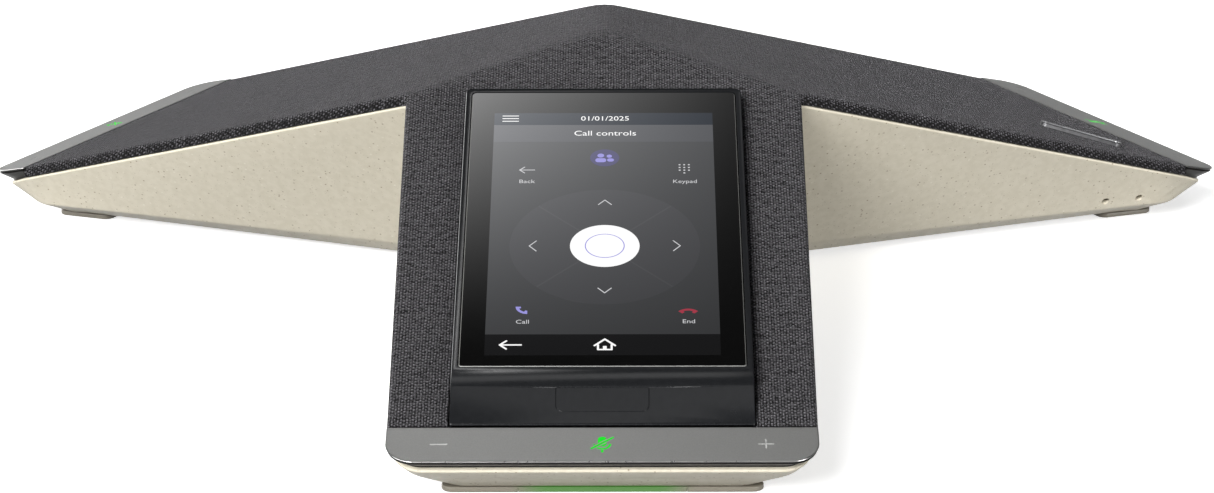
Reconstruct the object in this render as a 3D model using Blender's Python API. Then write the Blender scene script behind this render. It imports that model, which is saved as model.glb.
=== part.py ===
"""Three-arm conference desk phone with a sloping display, modelled as separate pieces.

World frame: +Z up, the origin is where the hub's vertical axis meets the table, and the display
arm points along -Y. Lengths are in millimetres and become metres as each mesh is made. An arm's
own axes are u, outward from the hub, and w, sideways and anticlockwise seen from above.
"""

import math
from dataclasses import dataclass, replace

import bmesh
import bpy
from mathutils import Matrix, Vector

MM = 0.001
GAP = 0.3                 # clearance between neighbouring pieces
ARMS = {"front": -90.0, "right": 30.0, "left": 150.0}
TAN60 = math.tan(math.radians(60))

# Sloping top: three flat facets that would meet at FACET_PEAK above the hub's axis.
FACET_PEAK = 75.5
FACET_SLOPE = 0.32
APEX_HEIGHT = 75.0
TILT = math.atan(FACET_SLOPE)
FABRIC_END = 176.8
FABRIC_THICK = 1.0
BAND_HEIGHT = 3.2         # height of the fabric that turns down over the sides
CARRIER_TOP = 1.35        # depth of the carrier plate's top under the facet

# Base pan, a shell whose walls lean inward as they go down.
RIM_DROP = 3.5            # depth of the pan's rim under the facet
RIM_TIP_DROP = 0.09       # extra fall of the rim per millimetre beyond the fabric
CHAMFER_Z = 6.1
BELLY_Z = 1.8
FLOOR_Z = 4.0
WALL = 2.6                # wall thickness measured level

# Touch bar across each arm's end.
BAR_IN, BAR_OUT = 177.1, 191.3
BAR_HALF = 55.75
BAR_TOP = 18.9
BAR_SLOPE = 0.2817
BAR_THICK = 1.2
BAR_CORNER = 7.7

# Foot pads, and the strip light set in the outer edge of each.
FOOT_IN, FOOT_OUT = 157.5, 175.5
FOOT_HALF_IN, FOOT_HALF_OUT = 39.5, 42.0
FOOT_TOP = 1.5
FOOT_CORNER = 3.0
LIGHT_HALF = 22.0
LIGHT_DEPTH = 3.0

# Display, in the front facet's own axes: x sideways, s down the slope from the peak, n out of it.
HOUSING_TOP, HOUSING_END = 37.9, 185.0
HOUSING_HALF = 39.6
RIM_N = 4.3               # the housing's rim above the facet
POCKET_FLOOR_N = -0.8
HOUSING_UNDER_N = -2.3
CHIN_TOP = (172.2, 3.8)   # (s, n) of the chin's upper and lower edges
CHIN_END = (185.0, 0.2)
GLASS_TOP, GLASS_END = 40.0, 166.0
GLASS_HALF = 37.7
GLASS_N = 4.2
GLASS_THICK = 1.2
FLAP_SET_BACK = 1.5       # distance of the flap's hinge down the chin
FLAP_HALF, FLAP_LENGTH, FLAP_THICK = 12.1, 7.75, 1.2

# Port bay in the rear notch.
BAY_HALF = 22.0
BAY_BACK = 19.8
BAY_LOW, BAY_HIGH = 9.0, 25.0
BAY_WALL = 1.6
PORT_BACK = 17.7          # the mouths of the sockets lie on this plane

# Loudspeaker, turned about the hub's axis.
FLANGE_TOP = 59.0
CONE_RADIUS = 27.0
BOX_RADIUS = 38.2

# Fasteners through the belly, two to an arm.
SCREW_U, SCREW_W = 148.0, 28.0
BOSS_LOW = 7.5

MAIN_BOARD_Z = (5.2, 6.8)

# Pin holes low in the right arm's front wall, as (u, w, z) on the wall's surface.
PIN_HOLES = ((151.8, -47.6, 9.75), (163.2, -49.8, 9.6))
WALL_NORMAL = Vector((-0.164, -0.844, -0.510)).normalized()

# Finishes: linear colour, roughness, metallic.
FINISHES = {
    "shell": ((0.56, 0.52, 0.43), 0.55, 0.0),
    "foot": ((0.33, 0.31, 0.26), 0.7, 0.0),
    "black": ((0.012, 0.012, 0.013), 0.45, 0.0),
    "housing": ((0.022, 0.023, 0.025), 0.4, 0.0),
    "bar": ((0.42, 0.42, 0.41), 0.35, 0.9),
    "fabric": ((0.03, 0.03, 0.033), 0.95, 0.0),
    "glass": ((0.01, 0.01, 0.012), 0.05, 0.0),
    "screen": ((0.14, 0.15, 0.17), 0.3, 0.0),
    "lit_green": ((0.0, 0.6, 0.03), 0.4, 0.0),
    "board": ((0.01, 0.12, 0.04), 0.5, 0.0),
    "steel": ((0.55, 0.55, 0.56), 0.3, 1.0),
    "magnet": ((0.08, 0.08, 0.09), 0.4, 0.8),
    "cone": ((0.02, 0.02, 0.02), 0.8, 0.0),
    "rubber": ((0.015, 0.015, 0.015), 0.9, 0.0),
    "copper": ((0.6, 0.25, 0.08), 0.3, 1.0),
    "film": ((0.35, 0.16, 0.03), 0.4, 0.0),
}


# Meshes

def closed(bm):
    """Turns every face outward and gives the mesh back."""
    bmesh.ops.recalc_face_normals(bm, faces=bm.faces)
    return bm


def loft(rings, first_centre=None, last_centre=None):
    """A body through rings of points. A centre closes an end as a fan; with none the loft closes on itself."""
    bm = bmesh.new()
    made = [[bm.verts.new(point) for point in ring] for ring in rings]
    pairs = list(zip(made, made[1:]))
    if first_centre is None:
        pairs.append((made[-1], made[0]))
    for low, high in pairs:
        for i in range(len(low)):
            j = (i + 1) % len(low)
            bm.faces.new((low[i], low[j], high[j], high[i]))
    for centre, ring in ((first_centre, made[0]), (last_centre, made[-1])):
        if centre is not None:
            hub = bm.verts.new(centre)
            for i, vert in enumerate(ring):
                bm.faces.new((vert, ring[(i + 1) % len(ring)], hub))
    return closed(bm)


def prism(outline, low, high):
    """An upright body over a flat outline; low and high give its faces' height at u."""
    bm = bmesh.new()
    bottom = [bm.verts.new((u, w, low(u))) for u, w in outline]
    top = [bm.verts.new((u, w, high(u))) for u, w in outline]
    bm.faces.new(bottom)
    bm.faces.new(top)
    for i in range(len(outline)):
        j = (i + 1) % len(outline)
        bm.faces.new((bottom[i], bottom[j], top[j], top[i]))
    return closed(bm)


def level(height):
    return lambda u: height


def box(x, y, z):
    corners = ((x[0], y[0]), (x[1], y[0]), (x[1], y[1]), (x[0], y[1]))
    return prism(corners, level(z[0]), level(z[1]))


def disc(radius, low, high, centre=(0.0, 0.0), steps=16):
    """An upright cylinder; low and high are heights or functions of u."""
    angles = [2 * math.pi * i / steps for i in range(steps)]
    outline = [(centre[0] + radius * math.cos(a), centre[1] + radius * math.sin(a)) for a in angles]
    ends = [end if callable(end) else level(end) for end in (low, high)]
    return prism(outline, *ends)


def lathe(profile, steps=32):
    """A closed (radius, height) profile turned about the Z axis; points at radius 0 share one vertex."""
    bm = bmesh.new()
    turns = [2 * math.pi * i / steps for i in range(steps)]
    rings = []
    for radius, height in profile:
        if radius == 0:
            rings.append([bm.verts.new((0, 0, height))] * steps)
        else:
            rings.append([bm.verts.new((radius * math.cos(a), radius * math.sin(a), height)) for a in turns])
    for i, ring in enumerate(rings):
        after = rings[(i + 1) % len(rings)]
        if ring[0] is ring[1] and after[0] is after[1]:
            continue
        for k in range(steps):
            m = (k + 1) % steps
            corners = dict.fromkeys((ring[k], ring[m], after[m], after[k]))
            bm.faces.new(tuple(corners))
    return closed(bm)


def arc(centre, radius, start, stop, steps):
    """Points round part of a circle, angles in degrees."""
    turns = [math.radians(start + (stop - start) * i / steps) for i in range(steps + 1)]
    return [(centre[0] + radius * math.cos(a), centre[1] + radius * math.sin(a)) for a in turns]


def rounded_rectangle(x, y, radius, steps=4):
    corners = ((x[1], y[0], -90), (x[1], y[1], 0), (x[0], y[1], 90), (x[0], y[0], 180))
    points = []
    for cx, cy, start in corners:
        inner_x = cx - math.copysign(radius, cx - sum(x) / 2)
        inner_y = cy - math.copysign(radius, cy - sum(y) / 2)
        points += arc((inner_x, inner_y), radius, start, start + 90, steps)
    return points


def strip(route, half_width, thickness):
    """A flat cable: a rectangle carried along a route of (u, z) points."""
    points = [Vector(point) for point in route]
    sides = ([], [])
    for i, point in enumerate(points):
        along = points[min(i + 1, len(points) - 1)] - points[max(i - 1, 0)]
        across = Vector((-along.y, along.x)).normalized() * thickness / 2
        sides[0].append(point + across)
        sides[1].append(point - across)
    outline = sides[0] + sides[1][::-1]
    bm = bmesh.new()
    walls = [[bm.verts.new((u, w, z)) for u, z in outline] for w in (-half_width, half_width)]
    count = len(outline)
    for i in range(count):
        j = (i + 1) % count
        bm.faces.new((walls[0][i], walls[0][j], walls[1][j], walls[1][i]))
    for wall in walls:
        for i in range(len(points) - 1):
            bm.faces.new((wall[i], wall[i + 1], wall[count - 2 - i], wall[count - 1 - i]))
    return closed(bm)


def smooth_route(points, steps=6):
    """A Catmull-Rom curve through 2-D points."""
    ends = [points[0]] + list(points) + [points[-1]]
    route = []
    for a, b, c, d in zip(ends, ends[1:], ends[2:], ends[3:]):
        for i in range(steps):
            t = i / steps
            weights = (-t + 2*t*t - t**3, 2 - 5*t*t + 3*t**3, t + 4*t*t - 3*t**3, -t*t + t**3)
            route.append(tuple(sum(k * p[n] for k, p in zip(weights, (a, b, c, d))) / 2 for n in (0, 1)))
    return route + [points[-1]]


# Objects

def finish_material(name, finish):
    colour, roughness, metallic = FINISHES[finish]
    material = bpy.data.materials.new(name)
    material.use_nodes = True
    shader = material.node_tree.nodes["Principled BSDF"]
    shader.inputs["Base Color"].default_value = (*colour, 1)
    shader.inputs["Roughness"].default_value = roughness
    shader.inputs["Metallic"].default_value = metallic
    material.diffuse_color = (*colour, 1)
    return material


def add(name, bm, finish, arm=None, parent=None, smooth=False):
    """One named piece. Its mesh is in the world's axes, in an arm's, or in its parent's."""
    bm.transform(Matrix.Scale(MM, 4))
    mesh = bpy.data.meshes.new(name)
    bm.to_mesh(mesh)
    bm.free()
    if smooth:
        mesh.shade_smooth()
        mesh.set_sharp_from_angle(angle=math.radians(35))
    obj = bpy.data.objects.new(name, mesh)
    bpy.context.scene.collection.objects.link(obj)
    if arm is not None:
        obj.rotation_euler.z = math.radians(ARMS[arm])
    obj.parent = parent
    if finish is None:
        obj.hide_render = True
        obj.display_type = "WIRE"
    else:
        mesh.materials.append(finish_material(name, finish))
    return obj


def helper(name, bm, arm=None, parent=None):
    """A cutter or a shape to join on, which is no piece of its own."""
    return add(name, bm, None, arm, parent)


def combine(obj, operation, others):
    for other in others:
        modifier = obj.modifiers.new(other.name, "BOOLEAN")
        modifier.operation = operation
        modifier.object = other


def soften(obj, width):
    modifier = obj.modifiers.new("edges", "BEVEL")
    modifier.width = width * MM
    modifier.segments = 2
    modifier.limit_method = "ANGLE"
    modifier.angle_limit = math.radians(40)


def frame(name, location, tilt, parent=None):
    """An empty whose axes carry pieces; the tilt is about X."""
    empty = bpy.data.objects.new(name, None)
    bpy.context.scene.collection.objects.link(empty)
    empty.location = Vector(location) * MM
    empty.rotation_euler.x = tilt
    empty.parent = parent
    return empty


# The three-arm plan

@dataclass(frozen=True)
class Plan:
    """Outline of the three-arm body at one level, in an arm's axes."""

    offset: float         # half-width of the straight sides carried back to the hub's axis
    flare: float          # growth of that half-width for each millimetre of u
    side_end: float       # u where the straight sides stop
    end: float            # u of the arm's outer edge
    end_half: float       # half-width where the end's corners begin
    corner: float         # radius of those corners

    def inset(self, depth):
        return replace(
            self,
            offset=self.offset - depth,
            side_end=self.side_end - depth / 2,
            end=self.end - depth,
            end_half=self.end_half - depth,
            corner=max(self.corner - depth, 0.5),
        )


RIM = Plan(57.66, -0.0108, 177.0, 187.3, 54.3, 8.0)
WALL_FOOT = Plan(14.86, 0.209, 168.0, 180.7, 51.0, 8.0)
BELLY = Plan(13.17, 0.166, 163.0, 175.5, 42.0, 7.0)
FABRIC_EDGE = Plan(57.66, -0.0108, 170.0, FABRIC_END, BAR_HALF, 0.6)


def half_plan(plan, steps):
    """Points of one arm from the notch on its clockwise side to its other side's end."""
    notch = plan.offset / (TAN60 - plan.flare)
    side = plan.offset + plan.flare * plan.side_end
    centre_u = plan.end - plan.corner
    centre_w = plan.end_half - plan.corner
    points = [(notch, -notch * TAN60), (plan.side_end, -side)]
    points += arc((centre_u, -centre_w), plan.corner, -90, 0, steps)
    points += arc((centre_u, centre_w), plan.corner, 0, 90, steps)
    return points + [(plan.side_end, side)]


def star(plan, height, steps=4):
    """The whole outline as world points; height gives Z at u."""
    ring = []
    for angle in ARMS.values():
        turn = Matrix.Rotation(math.radians(angle), 3, "Z")
        ring += [turn @ Vector((u, w, height(u))) for u, w in half_plan(plan, steps)]
    return ring


def facet(depth=0.0):
    return lambda u: FACET_PEAK - FACET_SLOPE * u - depth


def rim_height(u):
    return facet(RIM_DROP)(u) - RIM_TIP_DROP * max(0.0, u - RIM.side_end)


def bar_height(depth=0.0):
    return lambda u: BAR_TOP - BAR_SLOPE * (u - BAR_IN) - depth


# Base

def hull(name, depth):
    """The base's full form, inset so that its sides run inside the pan's walls, as a guide."""
    rings = [
        star(BELLY.inset(depth), level(BELLY_Z + depth)),
        star(WALL_FOOT.inset(depth), level(CHAMFER_Z)),
        star(RIM.inset(depth), rim_height),
    ]
    return helper(name, loft(rings, (0, 0, BELLY_Z + depth), (0, 0, rim_height(0))))


def pan_shell():
    rings = [
        star(BELLY, level(BELLY_Z)),
        star(WALL_FOOT, level(CHAMFER_Z)),
        star(RIM, rim_height),
        star(RIM.inset(WALL), rim_height),
        star(WALL_FOOT.inset(WALL), level(CHAMFER_Z + 0.5)),
        star(BELLY.inset(1.6), level(FLOOR_Z)),
    ]
    return loft(rings, (0, 0, BELLY_Z), (0, 0, FLOOR_Z))


def along_normal(point, normal, radius, start, stop):
    """A cylinder on an axis through a wall; start and stop are distances outward along the normal."""
    bm = disc(radius, start, stop)
    turn = Vector((0, 0, 1)).rotation_difference(normal).to_matrix().to_4x4()
    bm.transform(Matrix.Translation(point) @ turn)
    return bm


def pin_hole_cutters():
    cutters = []
    for i, point in enumerate(PIN_HOLES):
        recess = along_normal(point, WALL_NORMAL, 1.25, -1.4, 2)
        pin_way = along_normal(point, WALL_NORMAL, 0.55, -5, 1)
        cutters.append(helper(f"recess_cutter_{i}", recess, arm="right"))
        cutters.append(helper(f"pin_way_cutter_{i}", pin_way, arm="right"))
    return cutters


def screw_places():
    return [(arm, sign) for arm in ARMS for sign in (-1, 1)]


def screw_cutters():
    cutters = []
    for arm, sign in screw_places():
        place = (SCREW_U, sign * SCREW_W)
        seat = disc(3.4, BELLY_Z - 1, BELLY_Z + 1.2, place)
        through = disc(1.9, BELLY_Z - 2, FLOOR_Z + 1, place)
        cutters.append(helper(f"screw_seat_{arm}_{sign}", seat, arm))
        cutters.append(helper(f"screw_way_{arm}_{sign}", through, arm))
    return cutters


# Sockets of the port bay: outer x and z, depth, mouth x and z, and depth of the mouth.
LAN = {"x": (-21.0, -5.0), "z": (7.1, 20.6), "deep": 18.7, "mouth_x": (-18.9, -7.1), "mouth_z": (9.9, 17.9)}
USB_A = {"x": (-3.3, 11.3), "z": (8.6, 15.8), "deep": 14.2, "mouth_x": (-2.3, 10.3), "mouth_z": (9.6, 14.8)}
USB_C = {"x": (12.9, 21.9), "z": (8.9, 12.2), "deep": 7.7, "mouth_x": (13.3, 21.5), "mouth_z": (9.3, 11.8)}


def add_socket(name, size, floor, tongue):
    """A metal can with an open mouth facing +Y, and the contact tongue inside it."""
    can = add(name, box(size["x"], (PORT_BACK - size["deep"], PORT_BACK), size["z"]), "steel")
    mouth = box(size["mouth_x"], (PORT_BACK - floor, PORT_BACK + 2), size["mouth_z"])
    combine(can, "DIFFERENCE", [helper(f"{name}_mouth", mouth)])
    tongue_x, tongue_z = tongue
    blade = box(tongue_x, (PORT_BACK - floor - 0.5, PORT_BACK - 1), tongue_z)
    combine(can, "UNION", [helper(f"{name}_tongue", blade)])
    return can


def add_sockets():
    add_socket("lan_jack", LAN, 13.0, ((-16.5, -9.5), (9.5, 10.6)))
    add_socket("usb_a_socket", USB_A, 11.5, ((-1.4, 9.4), (12.6, 14.3)))
    add_socket("usb_c_socket", USB_C, 6.5, ((14.4, 20.4), (10.2, 10.9)))


def port_windows():
    """Openings in the bay's back wall, just larger than the sockets' mouths."""
    windows = []
    for i, size in enumerate((LAN, USB_A, USB_C)):
        (x0, x1), (z0, z1) = size["mouth_x"], size["mouth_z"]
        opening = box((x0 - 0.2, x1 + 0.2), (PORT_BACK - 1, BAY_BACK + 1), (z0 - 0.2, z1 + 0.2))
        windows.append(helper(f"port_window_{i}", opening))
    return windows


def add_base_pan():
    pan = add("base_pan", pan_shell(), "shell")
    half = BAY_HALF + BAY_WALL
    liner = helper("bay_liner", box((-half, half), (PORT_BACK + GAP, 70), (BAY_LOW - 1.4, BAY_HIGH + 1.5)))
    combine(liner, "INTERSECT", [hull("hull_guide", WALL / 2)])
    void = helper("bay_void", box((-BAY_HALF, BAY_HALF), (BAY_BACK, 90), (BAY_LOW, BAY_HIGH)))
    combine(pan, "UNION", [liner])
    combine(pan, "DIFFERENCE", [void, *port_windows(), *screw_cutters(), *pin_hole_cutters()])


def foot_outline():
    corner = FOOT_CORNER
    slot = LIGHT_HALF + GAP
    slot_u = FOOT_OUT - LIGHT_DEPTH - GAP
    side = [(FOOT_IN + corner, FOOT_HALF_IN), (FOOT_OUT - corner, FOOT_HALF_OUT)]
    lower = arc((side[0][0], -side[0][1] + corner), corner, 180, 270, 3)
    lower += arc((side[1][0], -side[1][1] + corner), corner, 270, 360, 3)
    notch = [(FOOT_OUT, -slot), (slot_u, -slot)]
    upper_half = [(u, -w) for u, w in reversed(lower + notch)]
    return lower + notch + upper_half


def add_feet():
    for arm in ARMS:
        add(f"foot_pad_{arm}", prism(foot_outline(), level(0), level(FOOT_TOP)), "foot", arm)
        strip_light = box((FOOT_OUT - LIGHT_DEPTH, FOOT_OUT), (-LIGHT_HALF, LIGHT_HALF), (0.2, FOOT_TOP))
        add(f"strip_light_{arm}", strip_light, "lit_green", arm)


def add_screws():
    for arm, sign in screw_places():
        z = BELLY_Z + 0.1
        profile = [(0, z), (3.1, z), (3.1, z + 0.8), (1.45, z + 0.8), (1.45, z + 12), (0, z + 12)]
        screw = lathe(profile, steps=12)
        screw.transform(Matrix.Translation((SCREW_U, sign * SCREW_W, 0)))
        name = f"base_screw_{arm}_{'a' if sign < 0 else 'b'}"
        add(name, screw, "steel", arm, smooth=True)


def bosses(arm, top):
    """Screw bosses hanging from a plate, and the cutters of their pilot holes."""
    places = [(SCREW_U, sign * SCREW_W) for sign in (-1, 1)]
    posts = [helper(f"boss_{arm}_{i}", disc(3.2, BOSS_LOW, top, place), arm) for i, place in enumerate(places)]
    pilots = [disc(1.75, BOSS_LOW - 1, BOSS_LOW + 8, place, steps=12) for place in places]
    holes = [helper(f"pilot_{arm}_{i}", pilot, arm) for i, pilot in enumerate(pilots)]
    return posts, holes


# Arm ends

def end_ring(end, half, corner, back, height, steps=6):
    """One level of the end cap, closed along its back."""
    points = [(back, -half)]
    points += arc((end - corner, -half + corner), corner, -90, 0, steps)
    points += arc((end - corner, half - corner), corner, 0, 90, steps)
    points.append((back, half))
    return [(u, w, height(u)) for u, w in points]


def end_cap_mesh():
    def foot(u):
        return rim_height(u) + GAP

    lid = bar_height(BAR_THICK + GAP)
    rings = [
        end_ring(RIM.end - 0.2, RIM.end_half, 8.0, BAR_IN + 0.2, foot),
        end_ring(BAR_OUT - 0.6, BAR_HALF - 0.4, BAR_CORNER - 0.4, BAR_IN + 0.2, lid),
        end_ring(184.6, 47.0, 2.0, BAR_IN + 1.5, lid),
        end_ring(184.6, 47.0, 2.0, BAR_IN + 1.5, foot),
    ]
    return loft(rings)


def bar_mesh():
    points = [(BAR_IN, -BAR_HALF)]
    points += arc((BAR_OUT - BAR_CORNER, -BAR_HALF + BAR_CORNER), BAR_CORNER, -90, 0, 8)
    points += arc((BAR_OUT - BAR_CORNER, BAR_HALF - BAR_CORNER), BAR_CORNER, 0, 90, 8)
    points.append((BAR_IN, BAR_HALF))
    return prism(points, bar_height(BAR_THICK), bar_height())


def add_arm_end(arm):
    light_top = BAR_THICK + GAP
    board_top = light_top + 1.8 + GAP
    add(f"end_cap_{arm}", end_cap_mesh(), "black", arm, smooth=True)
    bar = add(f"touch_bar_{arm}", bar_mesh(), "bar", arm, smooth=True)
    soften(bar, 0.25)
    guide_plan = rounded_rectangle((179.2, 184.0), (-4.0, 4.0), 1.0, 3)
    guide = prism(guide_plan, bar_height(light_top + 1.8), bar_height(light_top))
    add(f"mute_light_{arm}", guide, "lit_green", arm)
    board = prism(
        ((178.9, -45.5), (184.2, -45.5), (184.2, 45.5), (178.9, 45.5)),
        bar_height(board_top + 1.0),
        bar_height(board_top),
    )
    add(f"touch_board_{arm}", board, "board", arm)


# Top

def add_fabric_cover(opening):
    inner = FABRIC_EDGE.inset(FABRIC_THICK)
    rings = [
        star(FABRIC_EDGE, facet(), 1),
        star(FABRIC_EDGE, facet(BAND_HEIGHT), 1),
        star(inner, facet(BAND_HEIGHT), 1),
        star(inner, facet(FABRIC_THICK), 1),
    ]
    skin = loft(rings, (0, 0, APEX_HEIGHT), (0, 0, APEX_HEIGHT - FABRIC_THICK))
    cover = add("fabric_cover", skin, "fabric")
    combine(cover, "DIFFERENCE", [opening])


def grille_slots():
    """Radial slots over the loudspeaker, in two rings."""
    slots = []
    for ring, (count, near, far) in enumerate(((8, 7.0, 15.0), (14, 18.5, 29.0))):
        for i in range(count):
            slot = box((near, far), (-1.5, 1.5), (40, 90))
            slot.transform(Matrix.Rotation(2 * math.pi * (i + 0.5) / count, 4, "Z"))
            slots.append(helper(f"grille_slot_{ring}_{i}", slot))
    return slots


def add_carrier(opening):
    edge = FABRIC_EDGE.inset(FABRIC_THICK + GAP)
    rings = [star(edge, facet(BAND_HEIGHT), 1), star(edge, facet(CARRIER_TOP), 1)]
    under = (0, 0, FACET_PEAK - BAND_HEIGHT)
    plate = loft(rings, under, (0, 0, APEX_HEIGHT - CARRIER_TOP))
    carrier = add("top_carrier", plate, "black")
    for arm in ("right", "left"):
        posts, pilots = bosses(arm, facet(CARRIER_TOP + 1.0))
        combine(carrier, "UNION", posts)
        combine(carrier, "DIFFERENCE", pilots)
    combine(carrier, "DIFFERENCE", [opening, *grille_slots(), *microphone_ports()])


def microphone_ports():
    return [helper(f"mic_port_{arm}", disc(1.2, 5, 60, MIC_PLACE, 8), arm) for arm in ARMS]


MIC_PLACE = (150.0, 43.5)


def add_microphones():
    for arm in ARMS:
        top = facet(BAND_HEIGHT + GAP)(MIC_PLACE[0] + 4.5)
        cup = [(0, top - 5.5), (4.5, top - 5.5), (4.5, top), (3.3, top), (3.3, top - 4.3), (0, top - 4.3)]
        capsule = [(0, top - 4.0), (3.0, top - 4.0), (3.0, top - 0.6), (0, top - 0.6)]
        for name, profile, finish in (("mic_boot", cup, "rubber"), ("microphone", capsule, "steel")):
            bm = lathe(profile, steps=20)
            bm.transform(Matrix.Translation((*MIC_PLACE, 0)))
            add(f"{name}_{arm}", bm, finish, arm, smooth=True)


def add_badge():
    """A plain raised plate lying on the right arm's fabric."""
    plate = prism(rounded_rectangle((-13.0, 13.0), (-2.2, 2.2), 2.1, 5), level(GAP), level(1.3))
    plate.transform(Matrix.Rotation(math.radians(-36), 4, "Z"))
    plate.transform(Matrix.Rotation(TILT, 4, "Y"))
    plate.transform(Matrix.Translation((151.0, -35.0, facet()(151.0))))
    add("badge_plate", plate, "steel", "right", smooth=True)


# Display, on the front arm

def slope_box(x_half, s, n):
    return box((-x_half, x_half), (-s[1], -s[0]), n)


def housing_profile():
    top, end = HOUSING_TOP, HOUSING_END
    return [
        (top, HOUSING_UNDER_N),
        (top, RIM_N - 0.9),
        (top + 0.8, RIM_N),
        (CHIN_TOP[0] - 1.6, RIM_N),
        CHIN_TOP,
        CHIN_END,
        (end, -1.6),
        (end - 3.0, HOUSING_UNDER_N),
    ]


def side_extrusion(profile, half):
    """A (s, n) profile carried across the display."""
    bm = bmesh.new()
    sides = [[bm.verts.new((x, -s, n)) for s, n in profile] for x in (-half, half)]
    for side in sides:
        bm.faces.new(side)
    for i in range(len(profile)):
        j = (i + 1) % len(profile)
        bm.faces.new((sides[0][i], sides[0][j], sides[1][j], sides[1][i]))
    return closed(bm)


def chin_frame(display):
    """The flap's hinge line: x across, -y down the chin, z out of it."""
    run = CHIN_END[0] - CHIN_TOP[0]
    fall = CHIN_TOP[1] - CHIN_END[1]
    chin_tilt = math.atan2(fall, run)
    s = CHIN_TOP[0] + FLAP_SET_BACK * math.cos(chin_tilt)
    n = CHIN_TOP[1] - FLAP_SET_BACK * math.sin(chin_tilt)
    return frame("flap_hinge", (0, -s, n), chin_tilt, display)


def flap_outline(grow):
    half = FLAP_HALF + grow
    foot = -FLAP_LENGTH - grow
    points = [(half, -0.2 + grow), (-half, -0.2 + grow)]
    points += arc((-half + 2, foot + 2), 2, 180, 270, 4)
    points += arc((half - 2, foot + 2), 2, 270, 360, 4)
    return points


def add_flap_and_socket(housing, hinge):
    flap = prism(flap_outline(0), level(-FLAP_THICK), level(0))
    add("port_flap", flap, "housing", parent=hinge)
    pocket = prism(flap_outline(GAP), level(-FLAP_THICK - GAP), level(3))
    way = box((-4.8, 4.8), (-5.9, -2.1), (-12, 0))
    combine(housing, "DIFFERENCE", [
        helper("flap_pocket", pocket, parent=hinge),
        helper("service_port_way", way, parent=hinge),
    ])
    can = add("service_socket", box((-4.5, 4.5), (-5.6, -2.4), (-8.3, -1.8)), "steel", parent=hinge)
    mouth = box((-4.0, 4.0), (-5.2, -2.8), (-7.6, 0))
    combine(can, "DIFFERENCE", [helper("service_socket_mouth", mouth, parent=hinge)])
    blade = box((-2.9, 2.9), (-4.35, -3.65), (-8.0, -2.6))
    combine(can, "UNION", [helper("service_socket_tongue", blade, parent=hinge)])


def add_display(display):
    housing = add("display_housing", side_extrusion(housing_profile(), HOUSING_HALF), "housing", parent=display)
    soften(housing, 0.6)
    glass_s = (GLASS_TOP, GLASS_END)
    pocket_s = (GLASS_TOP - GAP, GLASS_END + GAP)
    posts, pilots = bosses("front", facet(1.7))
    combine(housing, "UNION", posts)
    combine(housing, "DIFFERENCE", [
        helper("glass_pocket", slope_box(GLASS_HALF + GAP, pocket_s, (POCKET_FLOOR_N, 9)), parent=display),
        helper("ribbon_slot", slope_box(11, (97, 102), (-6, 2)), parent=display),
        *pilots,
    ])
    add_flap_and_socket(housing, chin_frame(display))
    glass_low = GLASS_N - GLASS_THICK
    glass_plan = rounded_rectangle((-GLASS_HALF, GLASS_HALF), (-glass_s[1], -glass_s[0]), 1.5, 3)
    add("cover_glass", prism(glass_plan, level(glass_low), level(GLASS_N)), "glass", parent=display)
    panel_n = (glass_low - GAP - 2.1, glass_low - GAP)
    add("lcd_panel", slope_box(34.0, (45.0, 164.0), panel_n), "screen", parent=display)
    bracket_n = (POCKET_FLOOR_N + GAP, panel_n[0] - GAP)
    bracket = add("display_bracket", slope_box(36.0, (42.0, 164.5), bracket_n), "steel", parent=display)
    combine(bracket, "DIFFERENCE", [
        helper(f"bracket_window_{i}", slope_box(12, (s, s + 20), (-3, 3)), parent=display)
        for i, s in enumerate((55, 90, 125))
    ])


# Loudspeaker

def add_loudspeaker():
    top = FLANGE_TOP
    basket = [
        (36.2, top), (33.0, top), (33.0, top - 1.2), (29.0, top - 4), (18.0, top - 16.5),
        (9.0, top - 16.5), (9.0, top - 18), (19.0, top - 18), (30.5, top - 5), (36.2, top - 1.5),
    ]
    back = top - 18 - GAP
    magnet = [(0, back - 4), (18, back - 4), (18, back), (6, back), (6, back + 6), (0, back + 6)]
    coil = [(7.3, top - 9.4), (6.5, top - 9.4), (6.5, top - 16), (7.3, top - 16)]
    cone = [
        (0, top - 4.5), (4, top - 5.0), (7.5, top - 6.8), (CONE_RADIUS, top - 0.2),
        (CONE_RADIUS, top - 1.0), (7.8, top - 7.8), (6.6, top - 7.8), (3.8, top - 6.0), (0, top - 5.4),
    ]
    cup = [
        (BOX_RADIUS, top), (BOX_RADIUS, 40.0), (29.0, 33.0), (0, 33.0),
        (0, 34.5), (28.4, 34.5), (BOX_RADIUS - 1.5, 40.7), (BOX_RADIUS - 1.5, top),
    ]
    add("speaker_basket", lathe(basket), "steel", smooth=True)
    add("speaker_magnet", lathe(magnet), "magnet", smooth=True)
    add("voice_coil", lathe(coil), "copper", smooth=True)
    add("speaker_cone", lathe(cone), "cone", smooth=True)
    add("speaker_box", lathe(cup), "black", smooth=True)
    add("speaker_surround", lathe(surround_profile(top)), "rubber", smooth=True)


def surround_profile(top):
    """A half roll from the cone's edge to a lip on the flange."""
    middle = CONE_RADIUS + 3.4
    outer = arc((middle, top + 0.3), 3.1, 180, 0, 6)
    inner = arc((middle, top + 0.3), 2.5, 0, 180, 6)
    lip = [(36.0, top + 0.3), (36.0, top + 0.9), (middle + 2.9, top + 0.9)]
    return [point for point in outer[:-1]] + lip[::-1] + inner


# Electronics

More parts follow.
